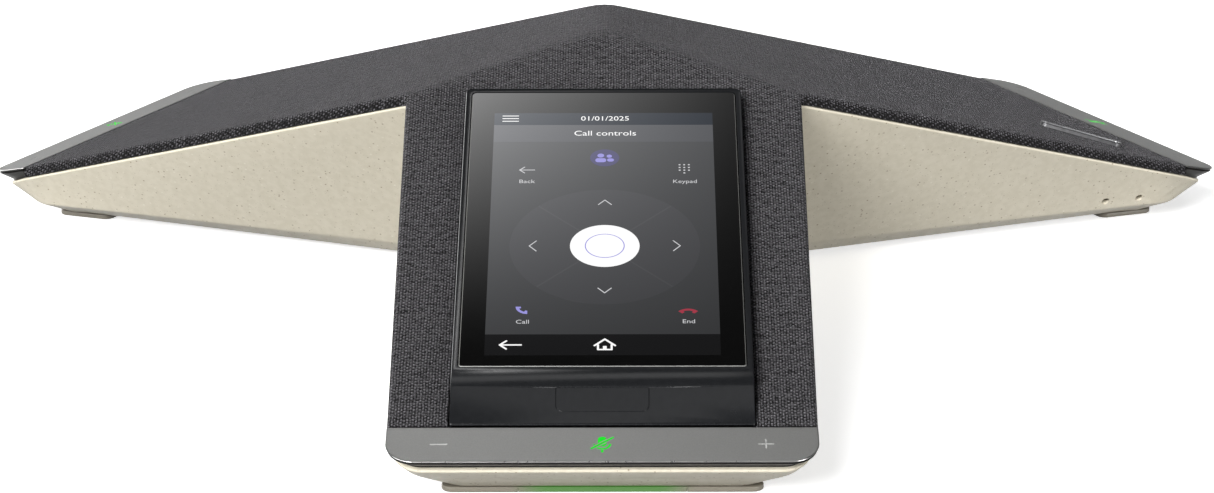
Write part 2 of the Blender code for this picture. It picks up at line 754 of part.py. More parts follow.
def add_boards():
    plan = Plan(10.4, 0.166, 70.0, 75.0, 21.5, 4.0)
    low, high = MAIN_BOARD_Z
    rings = [star(plan, level(low), 2), star(plan, level(high), 2)]
    add("main_board", loft(rings, (0, 0, low), (0, 0, high)), "board")
    can = add("shield_can", box((30, 58), (-12, 12), (high + GAP, high + 2.8)), "steel", "front")
    inside = box((30.4, 57.6), (-11.6, 11.6), (high, high + 2.4))
    combine(can, "DIFFERENCE", [helper("shield_can_inside", inside, "front")])
    for arm in ("right", "left"):
        plate_low, plate_high = facet(BAND_HEIGHT + GAP + 0.6), facet(BAND_HEIGHT + GAP)
        outline = ((90, -5), (130, -5), (130, 5), (90, 5))
        add(f"antenna_{arm}", prism(outline, plate_low, plate_high), "film", arm)


def add_ribbons():
    arm_route = smooth_route(((76.5, 6.0), (85, 5.0), (160, 4.9), (170, 6.4), (176, 9.6), (180, 12.2)))
    for arm in ARMS:
        add(f"touch_ribbon_{arm}", strip(arm_route, 4.0, 0.3), "film", arm)
    display_route = smooth_route(((94.4, 42.0), (91, 38), (84, 27), (76, 14), (71, 8.6), (66, 7.4)))
    add("display_ribbon", strip(display_route, 9.0, 0.3), "film", "front")


def add_reset_button():
    """A plunger inside the wall behind the inner pin hole; it slides along its own Z axis."""
    point = Vector(PIN_HOLES[0]) - WALL_NORMAL * (WALL + GAP)
    turn = Matrix.Rotation(math.radians(ARMS["right"]), 3, "Z")
    button = add("reset_button", disc(1.2, -3.0, 0.0), "black", smooth=True)
    button.rotation_mode = "QUATERNION"
    button.rotation_quaternion = Vector((0, 0, 1)).rotation_difference(turn @ WALL_NORMAL)
    button.location = turn @ point * MM


def clear_scene():
    for obj in list(bpy.data.objects):
        bpy.data.objects.remove(obj)


def main():
    clear_scene()
    display = frame("display_frame", (0, 0, FACET_PEAK), TILT)
    opening_s = (HOUSING_TOP - GAP, HOUSING_END + 20)
    opening = helper("display_opening", slope_box(HOUSING_HALF + GAP, opening_s, (-9, 12)), parent=display)
    add_base_pan()
    add_feet()
    add_screws()
    for arm in ARMS:
        add_arm_end(arm)
    add_fabric_cover(opening)
    add_carrier(opening)
    add_microphones()
    add_badge()
    add_display(display)
    add_loudspeaker()
    add_boards()
    add_sockets()
    add_ribbons()
    add_reset_button()


main()
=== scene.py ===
"""The looks of a three-arm conference desk phone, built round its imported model.

Lengths are in millimetres and become metres as each mesh is made. An arm's own axes are u, outward
from the hub, and w, sideways and anticlockwise seen from above. The display's own axes are x,
sideways, s, down the slope from the peak over the hub, and n, out of the slope.
"""

from dataclasses import dataclass, replace
from math import atan, atan2, copysign, cos, degrees, exp, log, pi, radians, sin, tan

import bmesh
import bpy
from mathutils import Matrix, Vector


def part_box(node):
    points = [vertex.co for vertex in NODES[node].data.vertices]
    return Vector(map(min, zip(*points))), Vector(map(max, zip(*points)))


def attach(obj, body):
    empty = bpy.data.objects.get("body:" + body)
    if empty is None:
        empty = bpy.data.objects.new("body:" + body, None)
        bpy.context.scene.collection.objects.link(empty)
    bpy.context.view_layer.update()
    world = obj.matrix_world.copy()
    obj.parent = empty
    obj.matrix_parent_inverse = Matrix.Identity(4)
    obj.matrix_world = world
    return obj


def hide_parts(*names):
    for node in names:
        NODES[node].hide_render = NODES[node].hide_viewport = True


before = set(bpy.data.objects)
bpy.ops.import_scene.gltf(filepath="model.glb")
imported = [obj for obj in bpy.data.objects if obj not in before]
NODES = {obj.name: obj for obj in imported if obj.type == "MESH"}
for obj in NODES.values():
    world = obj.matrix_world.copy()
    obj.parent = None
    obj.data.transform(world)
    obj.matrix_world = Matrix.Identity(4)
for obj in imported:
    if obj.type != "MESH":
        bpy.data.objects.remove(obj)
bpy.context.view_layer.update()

MM = 0.001
ARMS = {"front": -90.0, "right": 30.0, "left": 150.0}
TAN60 = tan(radians(60))
GAP = 0.3

# Sloping top
FACET_SLOPE = 0.32
FACET_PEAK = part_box("fabric_cover")[1].z / MM + 0.5
TILT = atan(FACET_SLOPE)
FABRIC_END = -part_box("fabric_cover")[0].y / MM
BAND_HEIGHT = 3.2  # height of the cloth that turns down over the sides
CREASE = 2.3  # softness of the folds between the facets
PEAK_CREASE = 1.7  # how much softer they get at the peak
SIDE_ROLL = 1.8  # radius of the cloth over the arms' sides
EDGE_ROLL = 0.5  # radius of the cloth beside the touch bar and the display
CLOTH_THICK = 0.5
WEAVE_ACROSS = 0.78  # yarn to yarn
WEAVE_ALONG = 0.817

# Base shell
RIM_DROP = 3.5
RIM_TIP_DROP = 0.09
LIP_HEIGHT, LIP_STEP = 0.8, 0.2
CHAMFER_Z = 6.1
BELLY_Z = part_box("base_pan")[0].z / MM
FLOOR_Z = 4.0
WALL = 2.6
BAY_HALF, BAY_BACK, BAY_LOW, BAY_HIGH, BAY_WALL = 22.0, 19.8, 9.0, 25.0, 1.6
PORT_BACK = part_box("lan_jack")[1].y / MM
PIN_HOLES = ((151.8, -47.6, 9.75), (163.2, -49.8, 9.6))
WALL_NORMAL = Vector((-0.164, -0.844, -0.510)).normalized()
SCREW_PLACE = (148.0, 28.0)

# Touch bar
BAR_IN, BAR_OUT, BAR_HALF = 177.1, 191.3, 55.75
BAR_TOP, BAR_SLOPE, BAR_THICK, BAR_CORNER = 18.9, 0.264, 0.78, 7.7
MARK_U = 184.2  # the marks' line along the bar
SIDE_MARK_W = 42.0

# Foot pads
FOOT_IN, FOOT_OUT, FOOT_TOP = 157.5, 175.5, 1.5
FOOT_HALF_IN, FOOT_HALF_OUT = 39.5, 42.0
LIGHT_HALF, LIGHT_DEPTH = 22.0, 3.0
FOOT_REST = (0.165, 0.15, 0.118)  # the pads' unlit colour
# The strip lamp's green light, painted into the pads and the strips as glow
FOOT_GLOW, STRIP_GLOW = (0.018, 0.078, 0.009), (0.024, 0.11, 0.012)
GLOW_FULL, GLOW_END = 14, 25  # w where the glow starts to fade and where it ends

# Display
HOUSING_TOP, HOUSING_END, HOUSING_HALF = 37.9, 185.0, 39.6
RIM_N = 4.3
CHIN_TOP, CHIN_END = (172.2, 3.8), (185.0, 0.2)
GLASS_TOP, GLASS_END, GLASS_HALF, GLASS_N = 40.0, 166.0, 37.7, 4.2
GLASS_THICK = 1.2
FLAP_SET_BACK = 1.5
FLAP_HALF, FLAP_LENGTH, FLAP_THICK = 12.1, 7.75, 1.2
IMAGE_TOP, IMAGE_END, IMAGE_HALF = 50.4, 161.3, 31.1

CHIN_TILT = atan2(CHIN_TOP[1] - CHIN_END[1], CHIN_END[0] - CHIN_TOP[0])
WORLD = Matrix.Identity(4)
DISPLAY = Matrix.Translation((0, 0, FACET_PEAK)) @ Matrix.Rotation(TILT, 4, "X")
FLAP_S = CHIN_TOP[0] + FLAP_SET_BACK * cos(CHIN_TILT)
FLAP_N = CHIN_TOP[1] - FLAP_SET_BACK * sin(CHIN_TILT)
CHIN = DISPLAY @ Matrix.Translation((0, -FLAP_S, FLAP_N)) @ Matrix.Rotation(CHIN_TILT, 4, "X")


def arm_place(arm):
    return Matrix.Rotation(radians(ARMS[arm]), 4, "Z")


# Materials

def put(tree, item, socket):
    """Links a socket to the item, or sets the socket's own value to it."""
    if isinstance(item, bpy.types.NodeSocket):
        tree.links.new(item, socket)
    else:
        socket.default_value = item


def add_node(tree, kind, inputs=(), **settings):
    node = tree.nodes.new(kind)
    for name, value in settings.items():
        setattr(node, name, value)
    for name, item in dict(inputs).items():
        put(tree, item, node.inputs[name])
    return node


class Look:
    """A material, with short calls that add its nodes."""

    def __init__(self, name, colour, roughness, metallic=0.0, **uniform):
        self.material = bpy.data.materials.new(name)
        self.material.use_nodes = True
        self.tree = self.material.node_tree
        self.shader = self.tree.nodes["Principled BSDF"]
        self.material.diffuse_color = (*colour, 1)
        self.set("Base Color", (*colour, 1))
        self.set("Roughness", roughness)
        self.set("Metallic", metallic)
        for name, value in uniform.items():
            self.set(name.replace("_", " ").title(), value)

    def set(self, name, item):
        socket = next(s for s in self.shader.inputs if s.name.lower() == name.lower())
        put(self.tree, item, socket)

    def node(self, kind, inputs=(), **settings):
        return add_node(self.tree, kind, inputs, **settings)

    def math(self, operation, *items):
        return self.node("ShaderNodeMath", enumerate(items), operation=operation).outputs[0]

    def times(self, first, second):
        return self.math("MULTIPLY", first, second)

    def place(self):
        """The point's place in metres: the vector, x, y and z."""
        vector = self.node("ShaderNodeTexCoord").outputs["Object"]
        parts = self.node("ShaderNodeSeparateXYZ", {"Vector": vector}).outputs
        return vector, *parts

    def noise(self, size, detail=2.0):
        """Soft noise from 0 to 1 whose blobs are about size millimetres across."""
        inputs = {"Vector": self.place()[0], "Scale": 1 / (size * MM), "Detail": detail}
        return self.node("ShaderNodeTexNoise", inputs).outputs[0]

    def ramp(self, value, low, high, to_low=0.0, to_high=1.0, smooth=True):
        inputs = {"Value": value, "From Min": low, "From Max": high}
        inputs |= {"To Min": to_low, "To Max": to_high}
        kind = "SMOOTHSTEP" if smooth else "LINEAR"
        return self.node("ShaderNodeMapRange", inputs, interpolation_type=kind).outputs[0]

    def mix(self, factor, first, second):
        colours = [(*c, 1) if isinstance(c, tuple) else c for c in (first, second)]
        inputs = {0: factor, 6: colours[0], 7: colours[1]}
        return self.node("ShaderNodeMix", inputs, data_type="RGBA").outputs[2]

    def scaled(self, factor, colour):
        inputs = {0: colour, "Scale": factor}
        return self.node("ShaderNodeVectorMath", inputs, operation="SCALE").outputs[0]

    def emit(self, colour, strength=1.0):
        self.set("Emission Color", colour)
        self.set("Emission Strength", strength)

    def bump(self, height, distance):
        """Relief of height times distance millimetres."""
        inputs = {"Height": height, "Distance": distance * MM, "Strength": 1.0}
        self.set("Normal", self.node("ShaderNodeBump", inputs).outputs[0])

    def vary_roughness(self, size, low, high):
        self.set("Roughness", self.ramp(self.noise(size), 0.3, 0.7, low, high, smooth=False))


def woven_cloth():
    """Plain weave: each crossing is a small dome, and every other one is light over black."""
    look = Look(
        "woven_cloth", (0.03, 0.029, 0.031), 0.85, specular_ior_level=0.15,
        sheen_weight=0.17, sheen_roughness=0.32, sheen_tint=(0.80, 0.78, 0.83, 1),
    )
    _, x, y, z = look.place()
    wander = look.times(look.noise(3.0), 0.45 * MM)
    across = look.math("ADD", x, wander)
    along = look.math("ADD", look.math("ADD", y, z), wander)
    warp = look.math("SINE", look.times(across, pi / (WEAVE_ACROSS * MM)))
    weft = look.math("SINE", look.times(along, pi / (WEAVE_ALONG * MM)))
    crossing = look.times(warp, weft)
    yarns = look.ramp(look.noise(0.75, detail=1.0), 0.30, 0.70, 0.15, 1.4)
    patches = look.ramp(look.noise(2.0, detail=3.0), 0.35, 0.65, 0.5, 1.5)
    uneven = look.times(yarns, patches)
    light = look.times(look.ramp(crossing, 0.30, 0.92), uneven)
    look.set("Base Color", look.mix(light, (0.003, 0.0028, 0.003), (0.145, 0.139, 0.152)))
    dome = look.times(look.math("ABSOLUTE", crossing), look.math("ADD", uneven, 0.5))
    slack = look.times(look.noise(2.2, detail=2.0), 5.0)
    look.bump(look.math("ADD", dome, slack), 0.28)
    return look.material


def specks(look, cell, radius, share):
    """Round specks of about this radius, one in each of a share of the cells."""
    cells = look.node("ShaderNodeTexVoronoi", {"Vector": look.place()[0], "Scale": 1 / (cell * MM)})
    near = look.ramp(cells.outputs["Distance"], radius / cell * 0.5, radius / cell, 1.0, 0.0)
    chance = look.node("ShaderNodeSeparateColor", {"Color": cells.outputs["Color"]}).outputs[0]
    return look.times(near, look.ramp(chance, 1 - share, 1.06 - share))


def shell_plastic():
    """Warm beige plastic with fine dark and light specks and a moulded grain."""
    look = Look("shell_plastic", (0.61, 0.56, 0.45), 0.48)
    mottle = look.ramp(look.noise(2.2, detail=4.0), 0.3, 0.7)
    colour = look.mix(mottle, (0.585, 0.54, 0.43), (0.635, 0.59, 0.48))
    for cell, radius, share, strength, tint in (
        (1.7, 0.36, 0.42, 0.8, (0.26, 0.20, 0.12)),
        (0.8, 0.17, 0.34, 0.7, (0.30, 0.25, 0.17)),
        (2.3, 0.40, 0.30, 0.40, (0.80, 0.77, 0.68)),
    ):
        spots = look.times(specks(look, cell, radius, share), strength)
        colour = look.mix(spots, colour, tint)
    look.set("Base Color", colour)
    look.vary_roughness(2.0, 0.42, 0.54)
    look.bump(look.noise(0.3), 0.012)
    return look.material


def satin_metal():
    """Blasted aluminium with a faint cloudy grain."""
    look = Look("satin_metal", (0.46, 0.46, 0.45), 0.4, 1.0)
    cloud = look.ramp(look.noise(0.35, detail=3.0), 0.3, 0.7)
    look.set("Base Color", look.mix(cloud, (0.445, 0.445, 0.435), (0.485, 0.485, 0.475)))
    look.vary_roughness(0.3, 0.38, 0.44)
    look.bump(look.noise(0.15), 0.006)
    return look.material


def plain_look(
    name, colour, roughness, metallic=0.0, grain=0.3, relief=0.006, spread=0.08, **uniform
):
    """A moulded, painted or metal finish with a fine grain and uneven gloss."""
    look = Look(name, colour, roughness, metallic, **uniform)
    light = tuple(min(1.0, c * (1 + spread)) for c in colour)
    dark = tuple(c * (1 - spread) for c in colour)
    cloud = look.ramp(look.noise(grain * 8, detail=4.0), 0.3, 0.7)
    look.set("Base Color", look.mix(cloud, dark, light))
    look.vary_roughness(grain * 4, roughness * 0.88, roughness * 1.12)
    if relief:
        look.bump(look.noise(grain), relief)
    return look.material


def lit_look(name, colour, roughness=0.06, specular=0.5):
    """A lit mark behind a clear glossy face."""
    look = Look(name, (0.004, 0.004, 0.004), roughness, specular_ior_level=specular)
    look.emit((*colour, 1))
    return look.material


def screen_look(name, colour):
    """Part of the lit image, whose glow is brighter at its top and its left: partly the image's own
    shading and partly a painted reflection of the lights above and to the left.
    """
    look = Look(f"image_{name}", (0.004, 0.004, 0.004), 0.05)
    _, x, y, _ = look.place()
    # Painted reflection: the glow brightens towards the top and the left as if it caught the lights
    # above and to the left.
    down = look.ramp(y, -0.062, -0.150, 1.45, 0.62, smooth=False)
    side = look.ramp(x, -0.032, 0.032, 1.2, 0.8, smooth=False)
    lit = look.times(down, side)
    look.emit(look.scaled(lit, colour))
    return look.material


def glow_look(name, colour, arm):
    """Milky plastic lit green over its middle, as glow and as a darker green base colour. On the
    strip the glow is the lamp itself; on the pad it is the strip's light painted in, and the green
    base colour is painted light on both. The light fades along the arm's width.
    """
    look = Look(name, FOOT_REST, 0.45)
    turn = radians(ARMS[arm])
    _, x, y, _ = look.place()
    from_x = look.times(x, -sin(turn))
    from_y = look.times(y, cos(turn))
    w = look.math("ABSOLUTE", look.math("ADD", from_x, from_y))
    glow = look.ramp(w, GLOW_FULL * MM, GLOW_END * MM, 1.0, 0.0)
    # Painted light: where the lamp's light falls, the base colour turns darker green and the
    # surface glows.
    look.set("Base Color", look.mix(glow, FOOT_REST, (0.035, 0.075, 0.02)))
    look.emit(look.mix(glow, (0, 0, 0), colour))
    look.bump(look.noise(0.3), 0.006)
    return look.material


LOOKS = {
    "cloth": woven_cloth(),
    "shell": shell_plastic(),
    "metal": satin_metal(),
    "polished": plain_look("polished_edge", (0.42, 0.42, 0.41), 0.3, 1.0, relief=0.0, spread=0.03),
    "trim": plain_look("black_trim", (0.007, 0.0066, 0.006), 0.42, specular_ior_level=0.2),
    "housing": plain_look(
        "housing_plastic", (0.0085, 0.009, 0.010), 0.17,
        grain=0.2, relief=0.001, specular_ior_level=0.34,
    ),
    "glass": plain_look("cover_glass_black", (0.0015, 0.0015, 0.0015), 0.05, relief=0.0),
    "glass_edge": plain_look("ground_glass_edge", (0.20, 0.20, 0.19), 0.35),
    "steel": plain_look("plain_steel", (0.55, 0.55, 0.56), 0.32, 1.0, grain=0.5),
    "screw": plain_look("screw_steel", (0.20, 0.20, 0.21), 0.35, 1.0, grain=0.3),
    "board": plain_look(
        "circuit_board", (0.012, 0.11, 0.04), 0.45, grain=0.8, relief=0.02, spread=0.2,
    ),
    "magnet": plain_look("ferrite", (0.07, 0.07, 0.08), 0.45, 0.6, grain=0.4),
    "cone": plain_look(
        "coated_paper", (0.022, 0.022, 0.023), 0.75, grain=0.6, relief=0.05, spread=0.2,
    ),
    "rubber": plain_look("soft_rubber", (0.014, 0.014, 0.014), 0.85, grain=0.3),
    "copper": plain_look("wound_copper", (0.62, 0.27, 0.09), 0.3, 1.0, grain=0.25, relief=0.03),
    "film": plain_look("amber_film", (0.36, 0.17, 0.03), 0.35, grain=1.0),
    "lit": lit_look("lit_green", (0.0, 0.80, 0.012), 0.4, 0.1),
    "etched": plain_look("etched_mark", (0.45, 0.45, 0.44), 0.5, 0.3),
    "badge_rim": plain_look("satin_badge", (0.20, 0.20, 0.205), 0.36, 1.0, relief=0.0),
    "badge_face": plain_look("badge_recess", (0.03, 0.03, 0.032), 0.4),
}


# Meshes

def closed(bm):
    bmesh.ops.recalc_face_normals(bm, faces=bm.faces)
    return bm


def bridge(bm, low, high):
    """Faces between two rings of vertices."""
    for i in range(len(low)):
        j = (i + 1) % len(low)
        bm.faces.new((low[i], low[j], high[j], high[i]))


def loft(rings, first_centre, last_centre):
    """A body through rings of points, closed at each end as a fan round its centre."""
    bm = bmesh.new()
    made = [[bm.verts.new(point) for point in ring] for ring in rings]
    for low, high in zip(made, made[1:]):
        bridge(bm, low, high)
    for centre, ring in ((first_centre, made[0]), (last_centre, made[-1])):
        hub = bm.verts.new(centre)
        for i, vert in enumerate(ring):
            bm.faces.new((vert, ring[(i + 1) % len(ring)], hub))
    return closed(bm)


def level(height):
    return lambda u: height


def stack(outlines, heights):
    """A body of outlines, each at its height, which may be a function of the first coordinate."""
    ends = [h if callable(h) else level(h) for h in heights]
    bm = bmesh.new()
    rings = [[bm.verts.new((a, b, end(a))) for a, b in ring] for ring, end in zip(outlines, ends)]
    for low, high in zip(rings, rings[1:]):
        bridge(bm, low, high)
    bm.faces.new(rings[0])
    bm.faces.new(rings[-1])
    return closed(bm)


def prism(outline, low, high):
    return stack((outline, outline), (low, high))


def rectangle(x, y):
    return [(x[0], y[0]), (x[1], y[0]), (x[1], y[1]), (x[0], y[1])]


def box(x, y, z):
    return prism(rectangle(x, y), z[0], z[1])


def arc(centre, radius, start, stop, steps):
    turns = [radians(start + (stop - start) * i / steps) for i in range(steps + 1)]
    return [(centre[0] + radius * cos(a), centre[1] + radius * sin(a)) for a in turns]


def circle(centre, radius, steps):
    return arc(centre, radius, 0, 360 - 360 / steps, steps - 1)


def rounded(x, y, radii, steps=6):
    """A rounded rectangle; radii is one number or four, anticlockwise from (x1, y0)."""
    if not isinstance(radii, tuple):
        radii = (radii,) * 4
    corners = ((x[1], y[0], -90), (x[1], y[1], 0), (x[0], y[1], 90), (x[0], y[0], 180))
    points = []
    for (cx, cy, start), radius in zip(corners, radii):
        inner_x = cx - copysign(radius, cx - sum(x) / 2)
        inner_y = cy - copysign(radius, cy - sum(y) / 2)
        points += arc((inner_x, inner_y), radius, start, start + 90, steps)
    return points


def placed(name, data):
    """A new object in the scene."""
    obj = bpy.data.objects.new(name, data)
    bpy.context.scene.collection.objects.link(obj)
    return obj


def shade(mesh, smooth):
    """Smooth shading, with sharp edges from that many degrees; 0 leaves the mesh as it is."""
    if smooth:
        mesh.shade_smooth()
        mesh.set_sharp_from_angle(angle=radians(smooth))


def evaluated(obj):
    """A mesh of the object with its modifiers."""
    graph = bpy.context.evaluated_depsgraph_get()
    return bpy.data.meshes.new_from_object(obj.evaluated_get(graph))


def make(name, bm, looks, place=WORLD, smooth=30):
    """An object from a mesh in millimetres, in the axes of place."""
    bm.transform(Matrix.Scale(MM, 4) @ place)
    mesh = bpy.data.meshes.new(name)
    bm.to_mesh(mesh)
    bm.free()
    for look in [looks] if isinstance(looks, str) else looks:
        mesh.materials.append(LOOKS[look])
    shade(mesh, smooth)
    return placed(name, mesh)


def baked(obj, smooth=30):
    """Makes the object's modifiers part of its mesh."""
    bpy.context.view_layer.update()
    mesh = evaluated(obj)
    obj.modifiers.clear()
    obj.data = mesh
    shade(mesh, smooth)
    return obj


def combine(obj, operation, others):
    """Joins, cuts or crosses the object with others, which are used up."""
    for other in others:
        modifier = obj.modifiers.new(other.name, "BOOLEAN")
        modifier.operation = operation
        modifier.object = other
        modifier.material_mode = "TRANSFER"
    baked(obj)
    for other in others:
        bpy.data.objects.remove(other)
    return obj


def bevel(obj, width, segments, angle=40):
    modifier = obj.modifiers.new("edges", "BEVEL")
    modifier.width = width * MM
    modifier.segments = segments
    modifier.limit_method = "ANGLE"
    modifier.angle_limit = radians(angle)
    modifier.harden_normals = True
    return baked(obj, smooth=0)


def fit(obj, replaces=(), body="phone"):
    """Makes the object a piece of the phone."""
    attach(obj, body)
    if replaces:
        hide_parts(*replaces)
    return obj


# The three-arm plan

@dataclass(frozen=True)
class Plan:
    """Outline of the three-arm body at one level, in an arm's axes."""

    offset: float  # half-width of the straight sides carried back to the hub's axis
    flare: float  # growth of that half-width for each millimetre of u
    side_end: float  # u where the straight sides stop
    end: float  # u of the arm's outer edge
    end_half: float  # half-width where the end's corners begin
    corner: float  # radius of those corners

    def inset(self, depth):
        return replace(
            self,
            offset=self.offset - depth,
            side_end=self.side_end - depth / 2,
            end=self.end - depth,
            end_half=self.end_half - depth,
            corner=max(self.corner - depth, 0.5),
        )

    def half(self, u):
        """The half-width at u, which the neighbouring arms limit near the hub."""
        return min(u * TAN60, self.offset + self.flare * u)


RIM = Plan(57.66, -0.0108, 177.0, 187.3, 54.3, 8.0)
WALL_FOOT = Plan(14.86, 0.209, 168.0, 180.7, 51.0, 8.0)
BELLY = Plan(13.17, 0.166, 163.0, 175.5, 42.0, 7.0)
SIDE_STEPS, CORNER_STEPS = 14, 12


def half_plan(plan):
    notch = plan.offset / (TAN60 - plan.flare)
    side = plan.offset + plan.flare * plan.side_end
    centre_u = plan.end - plan.corner
    centre_w = plan.end_half - plan.corner
    root = notch * TAN60
    run = [i / SIDE_STEPS for i in range(SIDE_STEPS + 1)]
    edge = [(notch + (plan.side_end - notch) * t, root + (side - root) * t) for t in run]
    points = [(u, -w) for u, w in edge]
    points += arc((centre_u, -centre_w), plan.corner, -90, 0, CORNER_STEPS)
    points += arc((centre_u, centre_w), plan.corner, 0, 90, CORNER_STEPS)
    return points + edge[:0:-1]


def star(plan, height):
    """The whole outline as world points; height gives Z at u."""
    ring = []
    for arm in ARMS:
        turn = arm_place(arm)
        ring += [turn @ Vector((u, w, height(u))) for u, w in half_plan(plan)]
    return ring


def facet(depth=0.0):
    return lambda u: FACET_PEAK - FACET_SLOPE * u - depth


def rim_height(u):
    return facet(RIM_DROP)(u) - RIM_TIP_DROP * max(0.0, u - RIM.side_end)


def lip_height(drop):
    return lambda u: rim_height(u) - drop


def bar_height(depth=0.0):
    return lambda u: BAR_TOP - BAR_SLOPE * (u - BAR_IN) - depth


# Cloth cover

def cloth_height(point):
    """The cloth's height over a point: the lowest facet's, softened where the facets meet."""
    turns = [radians(angle) for angle in ARMS.values()]
    along = [point.x * cos(a) + point.y * sin(a) for a in turns]
    most = max(along)
    crease = CREASE + PEAK_CREASE * exp(-((point.x ** 2 + point.y ** 2) / 14 ** 2))
    soft = most + crease * log(sum(exp((u - most) / crease) for u in along))
    return FACET_PEAK - FACET_SLOPE * soft


def steps_to_edge(count):
    """From 0 to 1 in steps that get smaller towards 1."""
    return [1 - (1 - i / count) ** 1.8 for i in range(count + 1)]


OPENING_U = (HOUSING_TOP - GAP) * cos(TILT)
OPENING_HALF = HOUSING_HALF + GAP
CLOTH_PLAN = Plan(RIM.offset - SIDE_ROLL, RIM.flare, 0, FABRIC_END - EDGE_ROLL, 0, 0)


def cloth_rows():
    notch = CLOTH_PLAN.offset / (TAN60 - CLOTH_PLAN.flare)
    special = {0.0, notch, OPENING_U - EDGE_ROLL, CLOTH_PLAN.end}
    plain = {3.0 * i for i in range(1, 59)}
    kept = {u for u in plain if all(abs(u - s) > 1.2 for s in special)}
    return sorted(special | kept)


def cloth_columns(u):
    """The columns' places across the arm, with one on each side of the display's opening."""
    edge = CLOTH_PLAN.half(u)
    first = OPENING_U - EDGE_ROLL
    inner = (OPENING_HALF + EDGE_ROLL) * min(1.0, edge / CLOTH_PLAN.half(first))
    if u > first:
        inner = OPENING_HALF + EDGE_ROLL
    outer = [inner + (edge - inner) * t for t in steps_to_edge(10)]
    middle = [inner * (i / 8 - 1) for i in range(17)]
    return [-w for w in reversed(outer)] + middle[1:-1] + outer


def cloth_top():
    bm = bmesh.new()
    rows = cloth_rows()
    first_inner, last_inner = 10, 26
    for arm in ARMS:
        turn = arm_place(arm)
        grid = []
        for u in rows:
            points = [turn @ Vector((u, w, 0)) for w in cloth_columns(u)]
            grid.append([bm.verts.new((p.x, p.y, cloth_height(p))) for p in points])
        for i in range(len(rows) - 1):
            for j in range(len(grid[0]) - 1):
                beside = j < first_inner or j >= last_inner
                if arm != "front" or beside or rows[i] < OPENING_U - EDGE_ROLL - 0.1:
                    bm.faces.new((grid[i][j], grid[i + 1][j], grid[i + 1][j + 1], grid[i][j + 1]))
    bmesh.ops.remove_doubles(bm, verts=bm.verts, dist=0.01)
    loose = [vert for vert in bm.verts if not vert.link_faces]
    bmesh.ops.delete(bm, geom=loose, context="VERTS")
    return closed(bm)


def outline_of(bm):
    """The vertices of the mesh's one open edge, in order."""
    ahead = {}
    for edge in bm.edges:
        if edge.is_boundary:
            for vert in edge.verts:
                ahead.setdefault(vert, []).append(edge.other_vert(vert))
    start = next(iter(ahead))
    loop, last = [start], None
    while True:
        here = loop[-1]
        after = next(v for v in ahead[here] if v is not last)
        if after is start:
            return loop
        last = here
        loop.append(after)


def edge_roll(point):
    """How far the cloth's edge lies beyond a point of its flat part, and the roll's height."""
    for arm in ARMS:
        local = arm_place(arm).inverted() @ Vector((point.x, point.y, 0))
        u, w = local.x, local.y
        if u * TAN60 < abs(w) - 0.01:
            continue
        sign = copysign(1, w)
        move, rolls = Vector((0, 0, 0)), []
        on_side = abs(abs(w) - CLOTH_PLAN.half(u)) < 0.02
        if on_side:
            move.y += sign * SIDE_ROLL
            rolls.append(SIDE_ROLL)
            if abs(abs(w) - u * TAN60) < 0.02:
                move.x += SIDE_ROLL / TAN60
        if abs(u - CLOTH_PLAN.end) < 0.02:
            move.x += EDGE_ROLL
            rolls.append(EDGE_ROLL)
        inside = abs(w) < OPENING_HALF + EDGE_ROLL + 0.02
        if arm == "front" and inside and not on_side:
            if abs(w) > OPENING_HALF + EDGE_ROLL - 0.02:
                move.y -= sign * EDGE_ROLL
            if abs(u - OPENING_U + EDGE_ROLL) < 0.02:
                move.x += EDGE_ROLL
            rolls.append(EDGE_ROLL)
        return arm_place(arm) @ move, sum(rolls) / len(rolls)
    raise ValueError("a point of the cloth's edge lies on no arm")


def roll_edge(bm):
    """Carries the cloth over its edge and down the sides, with a soft tuck at the bottom."""
    loop = outline_of(bm)
    shapes = [(vert.co.copy(), *edge_roll(vert.co)) for vert in loop]
    turns = [radians(15 * i) for i in range(1, 7)]
    stages = [(sin(a), 1 - cos(a), 0.0) for a in turns]
    stages += [(1.0, 1.0, 0.55), (0.97, 1.0, 0.9), (0.80, 1.0, 1.0)]
    last = loop
    for out, share, drop in stages:
        ring = []
        for start, move, roll in shapes:
            place = start + move * out
            depth = roll * share + (BAND_HEIGHT - roll) * drop
            ring.append(bm.verts.new((place.x, place.y, cloth_height(place) - depth)))
        bridge(bm, last, ring)
        last = ring
    bmesh.ops.remove_doubles(bm, verts=bm.verts, dist=0.005)
    return closed(bm)


def add_cloth():
    bm = roll_edge(cloth_top())
    up = sum(1 if face.normal.z > 0 else -1 for face in bm.faces)
    if up < 0:
        bmesh.ops.reverse_faces(bm, faces=bm.faces)
    cloth = make("cloth_cover", bm, "cloth", smooth=60)
    modifier = cloth.modifiers.new("thickness", "SOLIDIFY")
    modifier.thickness = CLOTH_THICK * MM
    modifier.offset = -1
    baked(cloth, smooth=60)
    fit(cloth, ["fabric_cover"])


# Base shell

def toward(start, goal, distance):
    """The ring moved towards another by a distance, at most 45 percent of the way."""
    steps = [(p, q - p) for p, q in zip(start, goal)]
    return [p + way.normalized() * min(distance, way.length * 0.45) for p, way in steps]


def eased(first, middle, last, steps=5):
    """Steps from first to last that round off middle: rings of points, or points."""
    made = []
    for t in [i / steps for i in range(steps + 1)]:
        three = zip(first, middle, last)
        made.append([a * (1 - t) ** 2 + b * 2 * t * (1 - t) + c * t * t for a, b, c in three])
    return made


